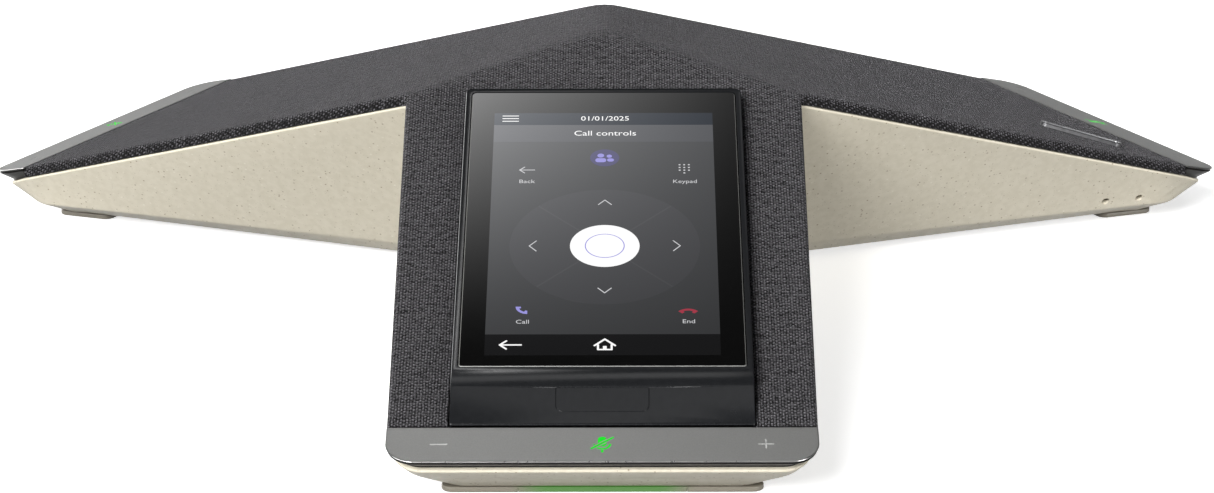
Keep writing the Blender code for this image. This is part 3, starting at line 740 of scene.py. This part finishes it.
def base_mesh():
    belly = star(BELLY, level(BELLY_Z))
    foot = star(WALL_FOOT, level(CHAMFER_Z))
    wall_top = star(RIM.inset(LIP_STEP), lip_height(LIP_HEIGHT + 0.12))
    inner_belly = star(BELLY.inset(1.5), level(BELLY_Z))
    rings = [inner_belly]
    rings += eased(toward(belly, inner_belly, 0.6), belly, toward(belly, foot, 0.6), 3)
    rings += eased(toward(foot, belly, 0.8), foot, toward(foot, wall_top, 1.2))
    rings += [
        wall_top,
        star(RIM.inset(LIP_STEP * 0.6), lip_height(LIP_HEIGHT)),
        star(RIM.inset(0.05), lip_height(LIP_HEIGHT - 0.14)),
        star(RIM, lip_height(LIP_HEIGHT - 0.3)),
        star(RIM, lip_height(0.32)),
        star(RIM.inset(0.10), lip_height(0.08)),
        star(RIM.inset(0.32), rim_height),
        star(RIM.inset(WALL), rim_height),
        star(WALL_FOOT.inset(WALL), level(CHAMFER_Z + 0.5)),
        star(BELLY.inset(1.6), level(FLOOR_Z)),
    ]
    return loft(rings, (0, 0, BELLY_Z), (0, 0, FLOOR_Z))


def hull(depth):
    rings = [
        star(BELLY.inset(depth), level(BELLY_Z + depth)),
        star(WALL_FOOT.inset(depth), level(CHAMFER_Z)),
        star(RIM.inset(depth), rim_height),
    ]
    return loft(rings, (0, 0, BELLY_Z + depth), (0, 0, rim_height(0)))


def along_normal(point, normal, radius, start, stop):
    bm = prism(circle((0, 0), radius, 24), start, stop)
    turn = Vector((0, 0, 1)).rotation_difference(normal).to_matrix().to_4x4()
    bm.transform(Matrix.Translation(point) @ turn)
    return bm


def socket_windows():
    """Openings in the bay's back wall, just larger than the sockets' mouths."""
    depth = (PORT_BACK - 1, BAY_BACK + 1)
    windows = (
        ((-19.1, -6.9), (9.7, 18.1)),
        ((-2.5, 10.5), (9.4, 15.0)),
        ((13.1, 21.7), (9.1, 12.0)),
    )
    return [make("window", box(x, depth, z), "shell") for x, z in windows]


def base_cutters():
    """Bodies of the port bay, the sockets' windows, the pin holes and the screws' ways."""
    void = box((-BAY_HALF, BAY_HALF), (BAY_BACK, 90), (BAY_LOW, BAY_HIGH))
    cutters = [make("void", void, "shell"), *socket_windows()]
    for point in PIN_HOLES:
        for radius, start, stop in ((1.25, -2.6, 2), (0.6, -5, 1)):
            cutter = along_normal(point, WALL_NORMAL, radius, start, stop)
            cutters.append(make("pin_hole", cutter, "shell", arm_place("right")))
    screw_steps = ((3.4, BELLY_Z - 1, BELLY_Z + 1.2), (1.9, BELLY_Z - 2, FLOOR_Z + 1))
    for arm in ARMS:
        for sign in (-1, 1):
            place = (SCREW_PLACE[0], sign * SCREW_PLACE[1])
            for radius, low, high in screw_steps:
                way = prism(circle(place, radius, 24), low, high)
                cutters.append(make("screw_way", way, "shell", arm_place(arm)))
    return cutters


def add_base():
    base = make("base_shell", base_mesh(), "shell")
    half = BAY_HALF + BAY_WALL
    block = box((-half, half), (PORT_BACK + GAP, 70), (BAY_LOW - 1.4, BAY_HIGH + 1.5))
    liner = make("liner", block, "shell")
    combine(liner, "INTERSECT", [make("hull", hull(WALL / 2), "shell")])
    combine(base, "UNION", [liner])
    combine(base, "DIFFERENCE", base_cutters())
    fit(base, ["base_pan"])


# Arm ends

def bar_outline(inset):
    radius = BAR_CORNER - inset
    low, high = BAR_IN + inset, BAR_OUT - inset
    half = BAR_HALF - inset
    return rounded((low, high), (-half, half), (radius, radius, 0.5, 0.5), 14)


def bar_mesh():
    """The plate, with its top and its polished edge in metal, and its underside and lower bevel
    painted dark as shade in the black trim finish.
    """
    insets = (0.5, 0.04, 0.0, 0.05, 0.18, 0.36, 0.52)
    depths = (BAR_THICK, 0.32, 0.22, 0.10, 0.03, 0.0, 0.0)
    bm = stack([bar_outline(i) for i in insets], [bar_height(d) for d in depths])
    for face in bm.faces:
        # Painted shade: faces turned down take the black trim finish instead of metal, so they stay
        # dark.
        if face.normal.z < -0.2:
            face.material_index = 2
        elif face.normal.z < 0.93:
            face.material_index = 1
    return bm


def bar_shape(outline, depth, proud=0.0):
    """A mark's body in the bar: its outline is (across, up the slope) from the marks' line."""
    points = [(MARK_U - up, across) for across, up in outline]
    return prism(points, bar_height(depth), bar_height(-proud))


def stroke(first, last, width):
    """A straight line's outline with round ends."""
    a, b = Vector(first), Vector(last)
    angle = degrees(atan2(b.y - a.y, b.x - a.x))
    half = width / 2
    end = arc(tuple(b), half, angle - 90, angle + 90, 6)
    return end + arc(tuple(a), half, angle + 90, angle + 270, 6)


def ring_part(radius, width, start, stop):
    outer, inner = radius + width / 2, radius - width / 2
    return arc((0, 0), outer, start, stop, 20) + arc((0, 0), inner, stop, start, 20)


def clip(bm, point, normal):
    """Keeps what lies behind the plane and closes the cut."""
    geometry = [*bm.verts, *bm.edges, *bm.faces]
    cut = bmesh.ops.bisect_plane(
        bm, geom=geometry, plane_co=point, plane_no=normal, clear_outer=True
    )
    edges = [item for item in cut["geom_cut"] if isinstance(item, bmesh.types.BMEdge)]
    bmesh.ops.holes_fill(bm, edges=edges)
    return closed(bm)


def gathered(parts):
    """Several meshes as one, which are used up."""
    bm = bmesh.new()
    for part in parts:
        mesh = bpy.data.meshes.new("part")
        part.to_mesh(mesh)
        part.free()
        bm.from_mesh(mesh)
        bpy.data.meshes.remove(mesh)
    return bm


def mute_mesh(depth, proud):
    """A crossed-out microphone, whose capsule, cradle and stem stop short of the slash."""
    capsule = rounded((-1.15, 1.15), (-0.9, 3.1), 1.12)
    cradle = [(a, b + 0.15) for a, b in ring_part(2.05, 0.6, 182, 358)]
    stem = rounded((-0.3, 0.3), (-3.4, -2.25), 0.1)
    along = Vector((4.5, -5.5, 0)).normalized()
    middle = Vector((MARK_U - 0.5, 0, 0))
    across = Vector((along.y, -along.x, 0))
    parts = [bar_shape(stroke((-2.75, -1.75), (2.75, 2.75), 0.6), depth, proud)]
    for shape in (capsule, cradle, stem):
        for side in (-1, 1):
            whole = bar_shape(shape, depth, proud)
            parts.append(clip(whole, middle + across * side * 0.62, across * -side))
    return gathered(part for part in parts if part.faces)


def side_marks():
    """Minus on the left and plus on the right, as outlines."""
    minus = stroke((-SIDE_MARK_W - 2.0, 0), (-SIDE_MARK_W + 2.0, 0), 0.62)
    across = stroke((SIDE_MARK_W - 1.9, 0), (SIDE_MARK_W + 1.9, 0), 0.42)
    upright = rectangle((SIDE_MARK_W - 0.21, SIDE_MARK_W + 0.21), (-1.9, 1.9))
    return minus, across, upright


def copied(obj, name, place):
    """A copy of a mesh made in an arm's axes, on that arm."""
    mesh = obj.data.copy()
    mesh.name = name
    mesh.transform(place)
    return placed(name, mesh)


def add_bars():
    pocket, fill = 0.22, 0.10  # depths of the marks' pockets and of the marks in them
    # The third finish, black trim, is painted shade on the plate's underside.
    bar = make("bar", bar_mesh(), ("metal", "polished", "trim"))
    cuts = [make("cut", bar_shape(shape, pocket, 1), "metal") for shape in side_marks()]
    combine(bar, "DIFFERENCE", cuts)
    combine(bar, "DIFFERENCE", [make("cut", mute_mesh(pocket, 1), "metal")])
    minus, *plus = side_marks()
    marks = make("marks", bar_shape(minus, pocket, -fill), "etched")
    for shape in plus:
        combine(marks, "UNION", [make("part", bar_shape(shape, pocket, -fill), "etched")])
    mute = make("mute", mute_mesh(pocket, -0.03), "lit")
    for arm in ARMS:
        place = arm_place(arm)
        fit(copied(bar, f"metal_bar_{arm}", place), [f"touch_bar_{arm}"])
        fit(copied(marks, f"bar_marks_{arm}", place))
        fit(copied(mute, f"mute_mark_{arm}", place))
    for used in (bar, marks, mute):
        bpy.data.objects.remove(used)


def cap_outline(end, half, corner, back):
    return rounded((back, end), (-half, half), (corner, corner, 0.4, 0.4), 12)


def add_caps():
    """The black piece under each bar, leaning inward as it goes down."""
    def foot(u):
        return rim_height(u) + GAP

    back = BAR_IN + 0.25
    top = (BAR_OUT - 0.6, BAR_HALF - 0.4, BAR_CORNER - 0.4)
    low = (RIM.end - 0.6, RIM.end_half - 0.3, 7.6)
    outlines = [
        cap_outline(low[0] - 0.5, low[1] - 0.4, low[2] - 0.5, back + 0.3),
        cap_outline(*low, back),
        cap_outline(*low, back),
        cap_outline(*top, back),
        cap_outline(*top, back),
        cap_outline(top[0] - 0.35, top[1] - 0.35, top[2] - 0.35, back + 0.35),
    ]
    heights = [foot, foot, lambda u: foot(u) + 0.35]
    heights += [bar_height(BAR_THICK + gap) for gap in (0.5, 0.4, 0.1)]
    for arm in ARMS:
        cap = make(f"arm_end_cap_{arm}", stack(outlines, heights), "trim", arm_place(arm))
        fit(cap, [f"end_cap_{arm}"])


def add_feet():
    for arm in ARMS:
        # Each pad and strip gets the strip lamp's green light painted in, fading across the arm.
        LOOKS["glow"] = glow_look(f"lit_foot_{arm}", FOOT_GLOW, arm)
        LOOKS["strip"] = glow_look(f"lit_strip_{arm}", STRIP_GLOW, arm)
        slot = LIGHT_HALF + 0.04
        pad = make(f"foot_slab_{arm}", prism(foot_outline(), 0.0, FOOT_TOP), "glow", arm_place(arm))
        notch = box((FOOT_OUT - LIGHT_DEPTH - GAP, FOOT_OUT + 1), (-slot, slot), (-1, FOOT_TOP + 1))
        bevel(pad, 0.3, 3)
        combine(pad, "DIFFERENCE", [make("notch", notch, "glow", arm_place(arm))])
        fit(pad, [f"foot_pad_{arm}"])
        strip = box((FOOT_OUT - LIGHT_DEPTH, FOOT_OUT), (-LIGHT_HALF, LIGHT_HALF), (0.05, FOOT_TOP))
        light = bevel(make(f"light_strip_{arm}", strip, "strip", arm_place(arm)), 0.28, 3)
        fit(light, [f"strip_light_{arm}"])


def foot_outline():
    corner = 3.0
    inner = (FOOT_IN + corner, FOOT_HALF_IN - corner)
    outer = (FOOT_OUT - corner, FOOT_HALF_OUT - corner)
    points = arc((inner[0], -inner[1]), corner, 180, 270, 8)
    points += arc((outer[0], -outer[1]), corner, 270, 360, 8)
    return points + arc(outer, corner, 0, 90, 8) + arc(inner, corner, 90, 180, 8)


# Display

def housing_profile():
    """The housing's long section as (s, n): a flat rim, a soft brow and the sloping chin."""
    top, end, reach = HOUSING_TOP, HOUSING_END, 2.7
    slope = (CHIN_END[1] - CHIN_TOP[1]) / (CHIN_END[0] - CHIN_TOP[0])
    knee = (CHIN_TOP[0] + (RIM_N - CHIN_TOP[1]) / slope, RIM_N)
    far = (knee[0] + reach, knee[1] + slope * reach)
    bend = eased((knee[0] - reach, RIM_N), knee, far, 8)
    settled = (knee[0] + 3.0, knee[1] + slope * 3.0)
    return [(top, -2.3), (top, RIM_N), *bend, settled, CHIN_END, (end, -1.6), (end - 3.0, -2.3)]


def side_extrusion(profile, half):
    """A body of the section (s, n) that reaches half to each side."""
    bm = bmesh.new()
    sides = [[bm.verts.new((x, -s, n)) for s, n in profile] for x in (-half, half)]
    for side in sides:
        bm.faces.new(side)
    bridge(bm, *sides)
    return closed(bm)


def flap_outline(grow):
    half = FLAP_HALF + grow
    foot = -FLAP_LENGTH - grow
    return rounded((-half, half), (foot, -0.2 + grow), (2 + grow, 0.3, 0.3, 2 + grow), 8)


def add_housing():
    section = side_extrusion(housing_profile(), HOUSING_HALF + 1)
    housing = make("housing_shell", section, "housing", DISPLAY)
    corners = (0.6, 2.4, 2.4, 0.6)
    plan = rounded((-HOUSING_HALF, HOUSING_HALF), (-HOUSING_END, -HOUSING_TOP), corners, 10)
    combine(housing, "INTERSECT", [make("plan", prism(plan, -9.0, 12.0), "housing", DISPLAY)])
    bevel(housing, 0.75, 4, angle=38)
    half, corners = GLASS_HALF + GAP, (1.0, 1.7, 1.7, 1.0)
    pocket = rounded((-half, half), (-GLASS_END - GAP, -GLASS_TOP + GAP), corners, 8)
    flap = prism(flap_outline(0.1), -FLAP_THICK - GAP, 3.0)
    combine(housing, "DIFFERENCE", [
        make("pocket", prism(pocket, -0.8, 9.0), "housing", DISPLAY),
        make("flap_pocket", flap, "housing", CHIN),
        make("service_way", box((-4.8, 4.8), (-5.9, -2.1), (-12, 0)), "housing", CHIN),
    ])
    fit(housing, ["display_housing"])
    cover = make("flap_cover", prism(flap_outline(0), -FLAP_THICK, 0.0), "housing", CHIN)
    fit(bevel(cover, 0.12, 2), ["port_flap"], body="flap")


def add_glass():
    corners = (0.8, 1.4, 1.4, 0.8)
    outlines = []
    for inset in (0.0, 0.0, 0.18):
        radii = tuple(r - inset for r in corners)
        x = GLASS_HALF - inset
        outlines.append(rounded((-x, x), (-GLASS_END + inset, -GLASS_TOP - inset), radii, 8))
    bm = stack(outlines, (GLASS_N - GLASS_THICK, GLASS_N - 0.20, GLASS_N - 0.02))
    for face in bm.faces:
        if abs(face.normal.z) < 0.95:
            face.material_index = 1
    glass = make("screen_glass", bm, ("glass", "glass_edge"), DISPLAY)
    fit(glass, ["cover_glass"])


# The lit image: neutral shapes and plain words

# The image's flat areas carry screen_look's painted reflection, brighter at the top and the left.
LOOKS.update({
    "ground": screen_look("ground", (0.055, 0.0565, 0.060)),
    "status": screen_look("status_bar", (0.012, 0.017, 0.026)),
    "title": screen_look("title_bar", (0.068, 0.070, 0.077)),
    "pad": screen_look("pad", (0.063, 0.064, 0.069)),
    "line": screen_look("pad_line", (0.074, 0.075, 0.080)),
    "nav": screen_look("nav_bar", (0.0035, 0.0035, 0.0045)),
    "white": lit_look("image_white", (1.0, 1.0, 1.0)),
    "grey": lit_look("image_grey", (0.62, 0.62, 0.64)),
    "violet": lit_look("image_violet", (0.32, 0.30, 0.72)),
    "dim_violet": lit_look("image_dim_violet", (0.085, 0.082, 0.175)),
    "red": lit_look("image_red", (0.36, 0.035, 0.06)),
})
IMAGE_N = GLASS_N - 0.02
LAYER = 0.012  # each layer of the image lies this much above the one before


def flat_shape(outline, layer):
    """A thin plate of the image; the outline is (x, s) and s runs down the slope."""
    points = [(x, -s) for x, s in outline]
    base = IMAGE_N + LAYER * layer
    return prism(points, base, base + LAYER * 0.8)


def image_piece(name, outlines, look, layer):
    """Several outlines as one piece of the image."""
    bm = gathered(flat_shape(outline, layer) for outline in outlines)
    fit(make(f"image_{name}", bm, look, DISPLAY))


def text_piece(name, words, look, layer):
    """Plain words in Blender's own font, each as (text, centre x, centre s, cap height)."""
    bm = bmesh.new()
    for text, x, s, height in words:
        curve = bpy.data.curves.new(name, "FONT")
        curve.body = text
        curve.align_x, curve.align_y = "CENTER", "CENTER"
        curve.size = height / 0.72
        curve.extrude = LAYER * 0.4
        curve.resolution_u = 3
        holder = placed(name, curve)
        mesh = evaluated(holder)
        bpy.data.objects.remove(holder)
        mesh.transform(Matrix.Translation((x, -s, IMAGE_N + LAYER * (layer + 0.4))))
        bm.from_mesh(mesh)
        bpy.data.meshes.remove(mesh)
    fit(make(f"image_{name}", bm, look, DISPLAY, smooth=0))


def band(s0, s1):
    return rectangle((-IMAGE_HALF, IMAGE_HALF), (s0, s1))


def fan(start, ends, width):
    """Strokes from one point to several."""
    return [stroke(start, end, width) for end in ends]


def chevron(x, s, dx, ds, reach):
    """Two thin strokes meeting at (x, s); their ends lie back by (dx, ds)."""
    ends = [(x - dx + ds * r, s - ds + dx * r) for r in (reach, -reach)]
    return fan((x, s), ends, 0.3)


def left_arrow(x, s, length, head, width):
    ends = [(x + length, s), (x + head, s - head), (x + head, s + head)]
    return fan((x, s), ends, width)


def handset(centre, radius, start, stop):
    """A telephone handset seen from the side, as an arch with a pad at each end."""
    pad = 20
    points = arc(centre, radius + 0.45, start, stop, 16)
    points += arc(centre, radius - 0.95, stop, stop - pad, 3)
    points += arc(centre, radius - 0.35, stop - pad, start + pad, 12)
    points += arc(centre, radius - 0.95, start + pad, start, 3)
    return points


PAD = PAD_X, PAD_S = 0.5, 113.6
PAD_RADIUS = 26.0


def add_image():
    image_piece("ground", [band(IMAGE_TOP, IMAGE_END)], "ground", 0)
    image_piece("status_bar", [band(IMAGE_TOP, 56.3)], "status", 1)
    image_piece("title_bar", [band(56.3, 64.6)], "title", 1)
    image_piece("nav_bar", [band(152.5, IMAGE_END)], "nav", 1)
    image_piece("pad", [circle(PAD, PAD_RADIUS, 72)], "pad", 1)
    spokes = []
    for a in [radians(angle) for angle in (45, 135, 225, 315)]:
        reach = (9.0, PAD_RADIUS - 0.4)
        ends = [(PAD_X + r * cos(a), PAD_S + r * sin(a)) for r in reach]
        spokes.append(stroke(*ends, 0.5))
    image_piece("pad_lines", spokes, "line", 2)
    image_piece("disc", [circle(PAD, 9.5, 64)], "white", 3)
    image_piece("disc_ring", [circle(PAD, 5.45, 64)], "violet", 4)
    image_piece("disc_middle", [circle(PAD, 5.15, 64)], "white", 5)
    image_piece("badge_disc", [circle((0.4, 72.4), 4.1, 40)], "dim_violet", 2)
    people = [circle((-0.7, 71.3), 0.95, 20), circle((1.7, 71.6), 0.75, 20)]
    people += [rounded((-2.2, 0.8), (72.6, 74.5), 0.8), rounded((1.1, 3.0), (72.7, 74.2), 0.7)]
    image_piece("badge_people", people, "violet", 3)
    marks = [rounded((-28.8, -24.1), (s - 0.17, s + 0.17), 0.08) for s in (51.8, 53.1, 54.4)]
    marks += left_arrow(-27.1, 157.0, 5.6, 1.7, 0.55)
    marks += [stroke((-2.1, 157.3), (0.6, 154.6), 0.6), stroke((0.6, 154.6), (3.3, 157.3), 0.6)]
    marks += [stroke((-1.2, 157.0), (-1.2, 159.0), 0.55), stroke((2.4, 157.0), (2.4, 159.0), 0.55)]
    marks += [stroke((-1.2, 159.0), (2.4, 159.0), 0.55), rounded((0.1, 1.1), (157.5, 159.0), 0.1)]
    image_piece("bar_marks", marks, "white", 2)
    thin = left_arrow(-23.4, 78.2, 4.2, 1.4, 0.3)
    thin += chevron(PAD_X, 92.5, 0, -2.1, 0.85) + chevron(PAD_X, 134.6, 0, 2.1, 0.85)
    thin += chevron(-20.1, PAD_S, -1.9, 0, 1.2) + chevron(21.1, PAD_S, 1.9, 0, 1.2)
    keys = [(x, s) for s in (75.8, 77.1, 78.4) for x in (21.4, 22.7, 24.0)] + [(22.7, 79.7)]
    thin += [rounded((x - 0.26, x + 0.26), (s - 0.26, s + 0.26), 0.1) for x, s in keys]
    image_piece("thin_marks", thin, "grey", 3)
    image_piece("call_mark", [handset((-20.1, 140.6), 2.7, 90, 180)], "violet", 3)
    image_piece("end_mark", [handset((22.8, 145.2), 3.2, 224, 316)], "red", 3)
    large = [("01/01/2025", 0.5, 53.2, 2.2), ("Call controls", 0.5, 60.5, 2.45)]
    text_piece("words_bold", large, "white", 2)
    small = [("Back", -21.3, 83.7, 1.7), ("Keypad", 22.8, 83.8, 1.65)]
    small += [("Call", -21.3, 147.2, 1.7), ("End", 22.9, 147.1, 1.7)]
    text_piece("words_small", small, "grey", 3)


# Badge

def add_badge():
    """A plain plate with a satin rim round a dark recess, on the right arm's cloth."""
    u, w, turn = 151.0, -35.0, radians(-36)
    half_x, half_y, corner = 13, 2.2, 2.1
    place = arm_place("right") @ Matrix.Translation((u, w, facet()(u)))
    place = place @ Matrix.Rotation(TILT, 4, "Y") @ Matrix.Rotation(turn, 4, "Z")
    outlines = [
        rounded((-half_x + i, half_x - i), (-half_y + i, half_y - i), corner - i, 10)
        for i in (0, 0, 0.25, 0.75, 0.85)
    ]
    bm = stack(outlines, (0.1, 1.05, 1.3, 1.3, 0.95))
    for face in bm.faces:
        if face.normal.z > 0.99 and face.calc_area() > 30:
            face.material_index = 1
    plate = make("plain_badge", bm, ("badge_rim", "badge_face"), place)
    fit(plate, ["badge_plate"])


# CAD pieces that keep their shape

def dress_cad():
    groups = {
        "steel": ("lan_jack", "usb_a_socket", "usb_c_socket", "service_socket", "shield_can",
                  "display_bracket", "speaker_basket", "microphone"),
        "screw": ("base_screw",),
        "board": ("main_board", "touch_board"),
        "magnet": ("speaker_magnet",),
        "cone": ("speaker_cone",),
        "rubber": ("speaker_surround", "mic_boot"),
        "copper": ("voice_coil",),
        "film": ("antenna", "touch_ribbon", "display_ribbon"),
        "trim": ("top_carrier", "speaker_box", "reset_button"),
        "ground": ("lcd_panel",),
        "lit": ("mute_light",),
    }
    for look, starts in groups.items():
        for name, node in NODES.items():
            if name.startswith(starts):
                node.data.materials.clear()
                node.data.materials.append(LOOKS[look])


# Stage

FLOOR_GLOW = 0.62
WORLD_ABOVE = (0.03, 0.03, 0.03)
WORLD_BELOW = (0.03, 0.027, 0.022)
SUNS = (  # name, azimuth, elevation, strength
    ("key", -28, 32, 5.0),
    ("left_side", -66, 16, 1.0),
    ("right_side", 42, 9, 2.1),
    ("back", -140, 14, 1.5),
)


def aim(obj, turn):
    obj.rotation_mode = "QUATERNION"
    obj.rotation_quaternion = turn


def direction(azimuth, elevation):
    """A unit vector; azimuth 0 is the viewer's side and grows to the right."""
    level_share = cos(elevation)
    return Vector((
        sin(azimuth) * level_share, -cos(azimuth) * level_share, sin(elevation)
    ))


def area_light(name, place, target, size, radiance):
    """A rectangular light that its radiance describes, whatever its size."""
    data = bpy.data.lights.new(name, "AREA")
    data.shape = "RECTANGLE"
    data.size, data.size_y = size
    data.energy = radiance * pi * size[0] * size[1]
    light = placed(name, data)
    light.location = place
    aim(light, (Vector(target) - Vector(place)).to_track_quat("-Z", "Y"))
    return light


def fade_light(light, y_range, x_range):
    """Makes the light fade with the square of the distance to two of its edges."""
    light.data.use_nodes = True
    tree = light.data.node_tree
    place = add_node(tree, "ShaderNodeNewGeometry").outputs["Position"]
    x, y, _ = add_node(tree, "ShaderNodeSeparateXYZ", {0: place}).outputs
    squares = []
    for value, (dark, bright) in ((y, y_range), (x, x_range)):
        limits = {"Value": value, "From Min": dark, "From Max": bright}
        share = add_node(tree, "ShaderNodeMapRange", limits).outputs[0]
        square = add_node(tree, "ShaderNodeMath", {0: share, 1: 2}, operation="POWER")
        squares.append(square.outputs[0])
    both = add_node(tree, "ShaderNodeMath", enumerate(squares), operation="MULTIPLY")
    put(tree, both.outputs[0], tree.nodes["Emission"].inputs["Strength"])


def add_floor():
    """A pale table that doesn't colour the phone's underside."""
    bm = bmesh.new()
    bmesh.ops.create_grid(bm, x_segments=1, y_segments=1, size=6000)
    look = Look("pale_floor", (0.80, 0.80, 0.80), 0.9)
    look.set("Base Color", look.mix(look.noise(400), (0.79, 0.79, 0.79), (0.81, 0.81, 0.81)))
    look.emit((1, 1, 1, 1), FLOOR_GLOW)
    LOOKS["floor"] = look.material
    floor = make("floor", bm, "floor", Matrix.Translation((0, 0, -0.05)))
    floor.visible_diffuse = False


def add_world():
    """Even light from above and a little warm light from below."""
    world = bpy.data.worlds.new("studio")
    world.use_nodes = True
    tree = world.node_tree
    way = add_node(tree, "ShaderNodeTexCoord").outputs["Generated"]
    up = add_node(tree, "ShaderNodeSeparateXYZ", {0: way}).outputs[2]
    limits = {"Value": up, "From Min": -0.05, "From Max": 0.05}
    share = add_node(tree, "ShaderNodeMapRange", limits).outputs[0]
    colours = {0: share, 6: (*WORLD_BELOW, 1), 7: (*WORLD_ABOVE, 1)}
    sky = add_node(tree, "ShaderNodeMix", colours, data_type="RGBA").outputs[2]
    put(tree, sky, tree.nodes["Background"].inputs["Color"])
    bpy.context.scene.world = world


def add_camera():
    """The view over the display arm, from 1.16 m and 18 degrees above the table."""
    distance = 1.16143
    pitch, yaw, roll = (radians(angle) for angle in (18.09, 0.23, -0.17))
    data = bpy.data.cameras.new("camera")
    camera = placed("camera", data)
    back = direction(yaw, pitch)
    camera.location = Vector((0, 0, 0.03)) + back * distance
    aim(camera, (-back).to_track_quat("-Z", "Y").to_matrix().to_quaternion())
    camera.rotation_quaternion.rotate(Matrix.Rotation(roll, 3, back))
    data.sensor_width = 36
    data.lens = 114.51
    data.shift_x = 0.0022
    data.shift_y = -0.0605
    data.clip_end = 100
    bpy.context.scene.camera = camera


def sun(name, azimuth, elevation, strength):
    """A broad distant light."""
    data = bpy.data.lights.new(name, "SUN")
    data.energy = strength
    data.angle = radians(28)
    light = placed(name, data)
    toward_light = direction(radians(azimuth), radians(elevation))
    aim(light, toward_light.to_track_quat("Z", "Y"))


def add_stage():
    add_floor()
    add_world()
    for name, azimuth, elevation, strength in SUNS:
        sun(name, azimuth, elevation, strength)
    area_light("brow", (0.0, 0.42, 1.25), (0, -0.1, 0.05), (0.9, 0.25), 1.2)
    area_light("overhead", (0.0, -0.22, 1.3), (0, -0.15, 0.05), (1.0, 0.3), 0.8)
    card = area_light("back_card", (0.0, 0.69, 1.10), (0.0, 0.69, 0.0), (0.42, 0.27), 9.2)
    fade_light(card, (0.555, 0.79), (0.15, -0.18))
    bpy.context.scene.view_settings.view_transform = "Standard"


def main():
    add_camera()
    add_cloth()
    add_base()
    add_bars()
    add_caps()
    add_feet()
    add_housing()
    add_glass()
    add_image()
    add_badge()
    dress_cad()
    add_stage()


main()
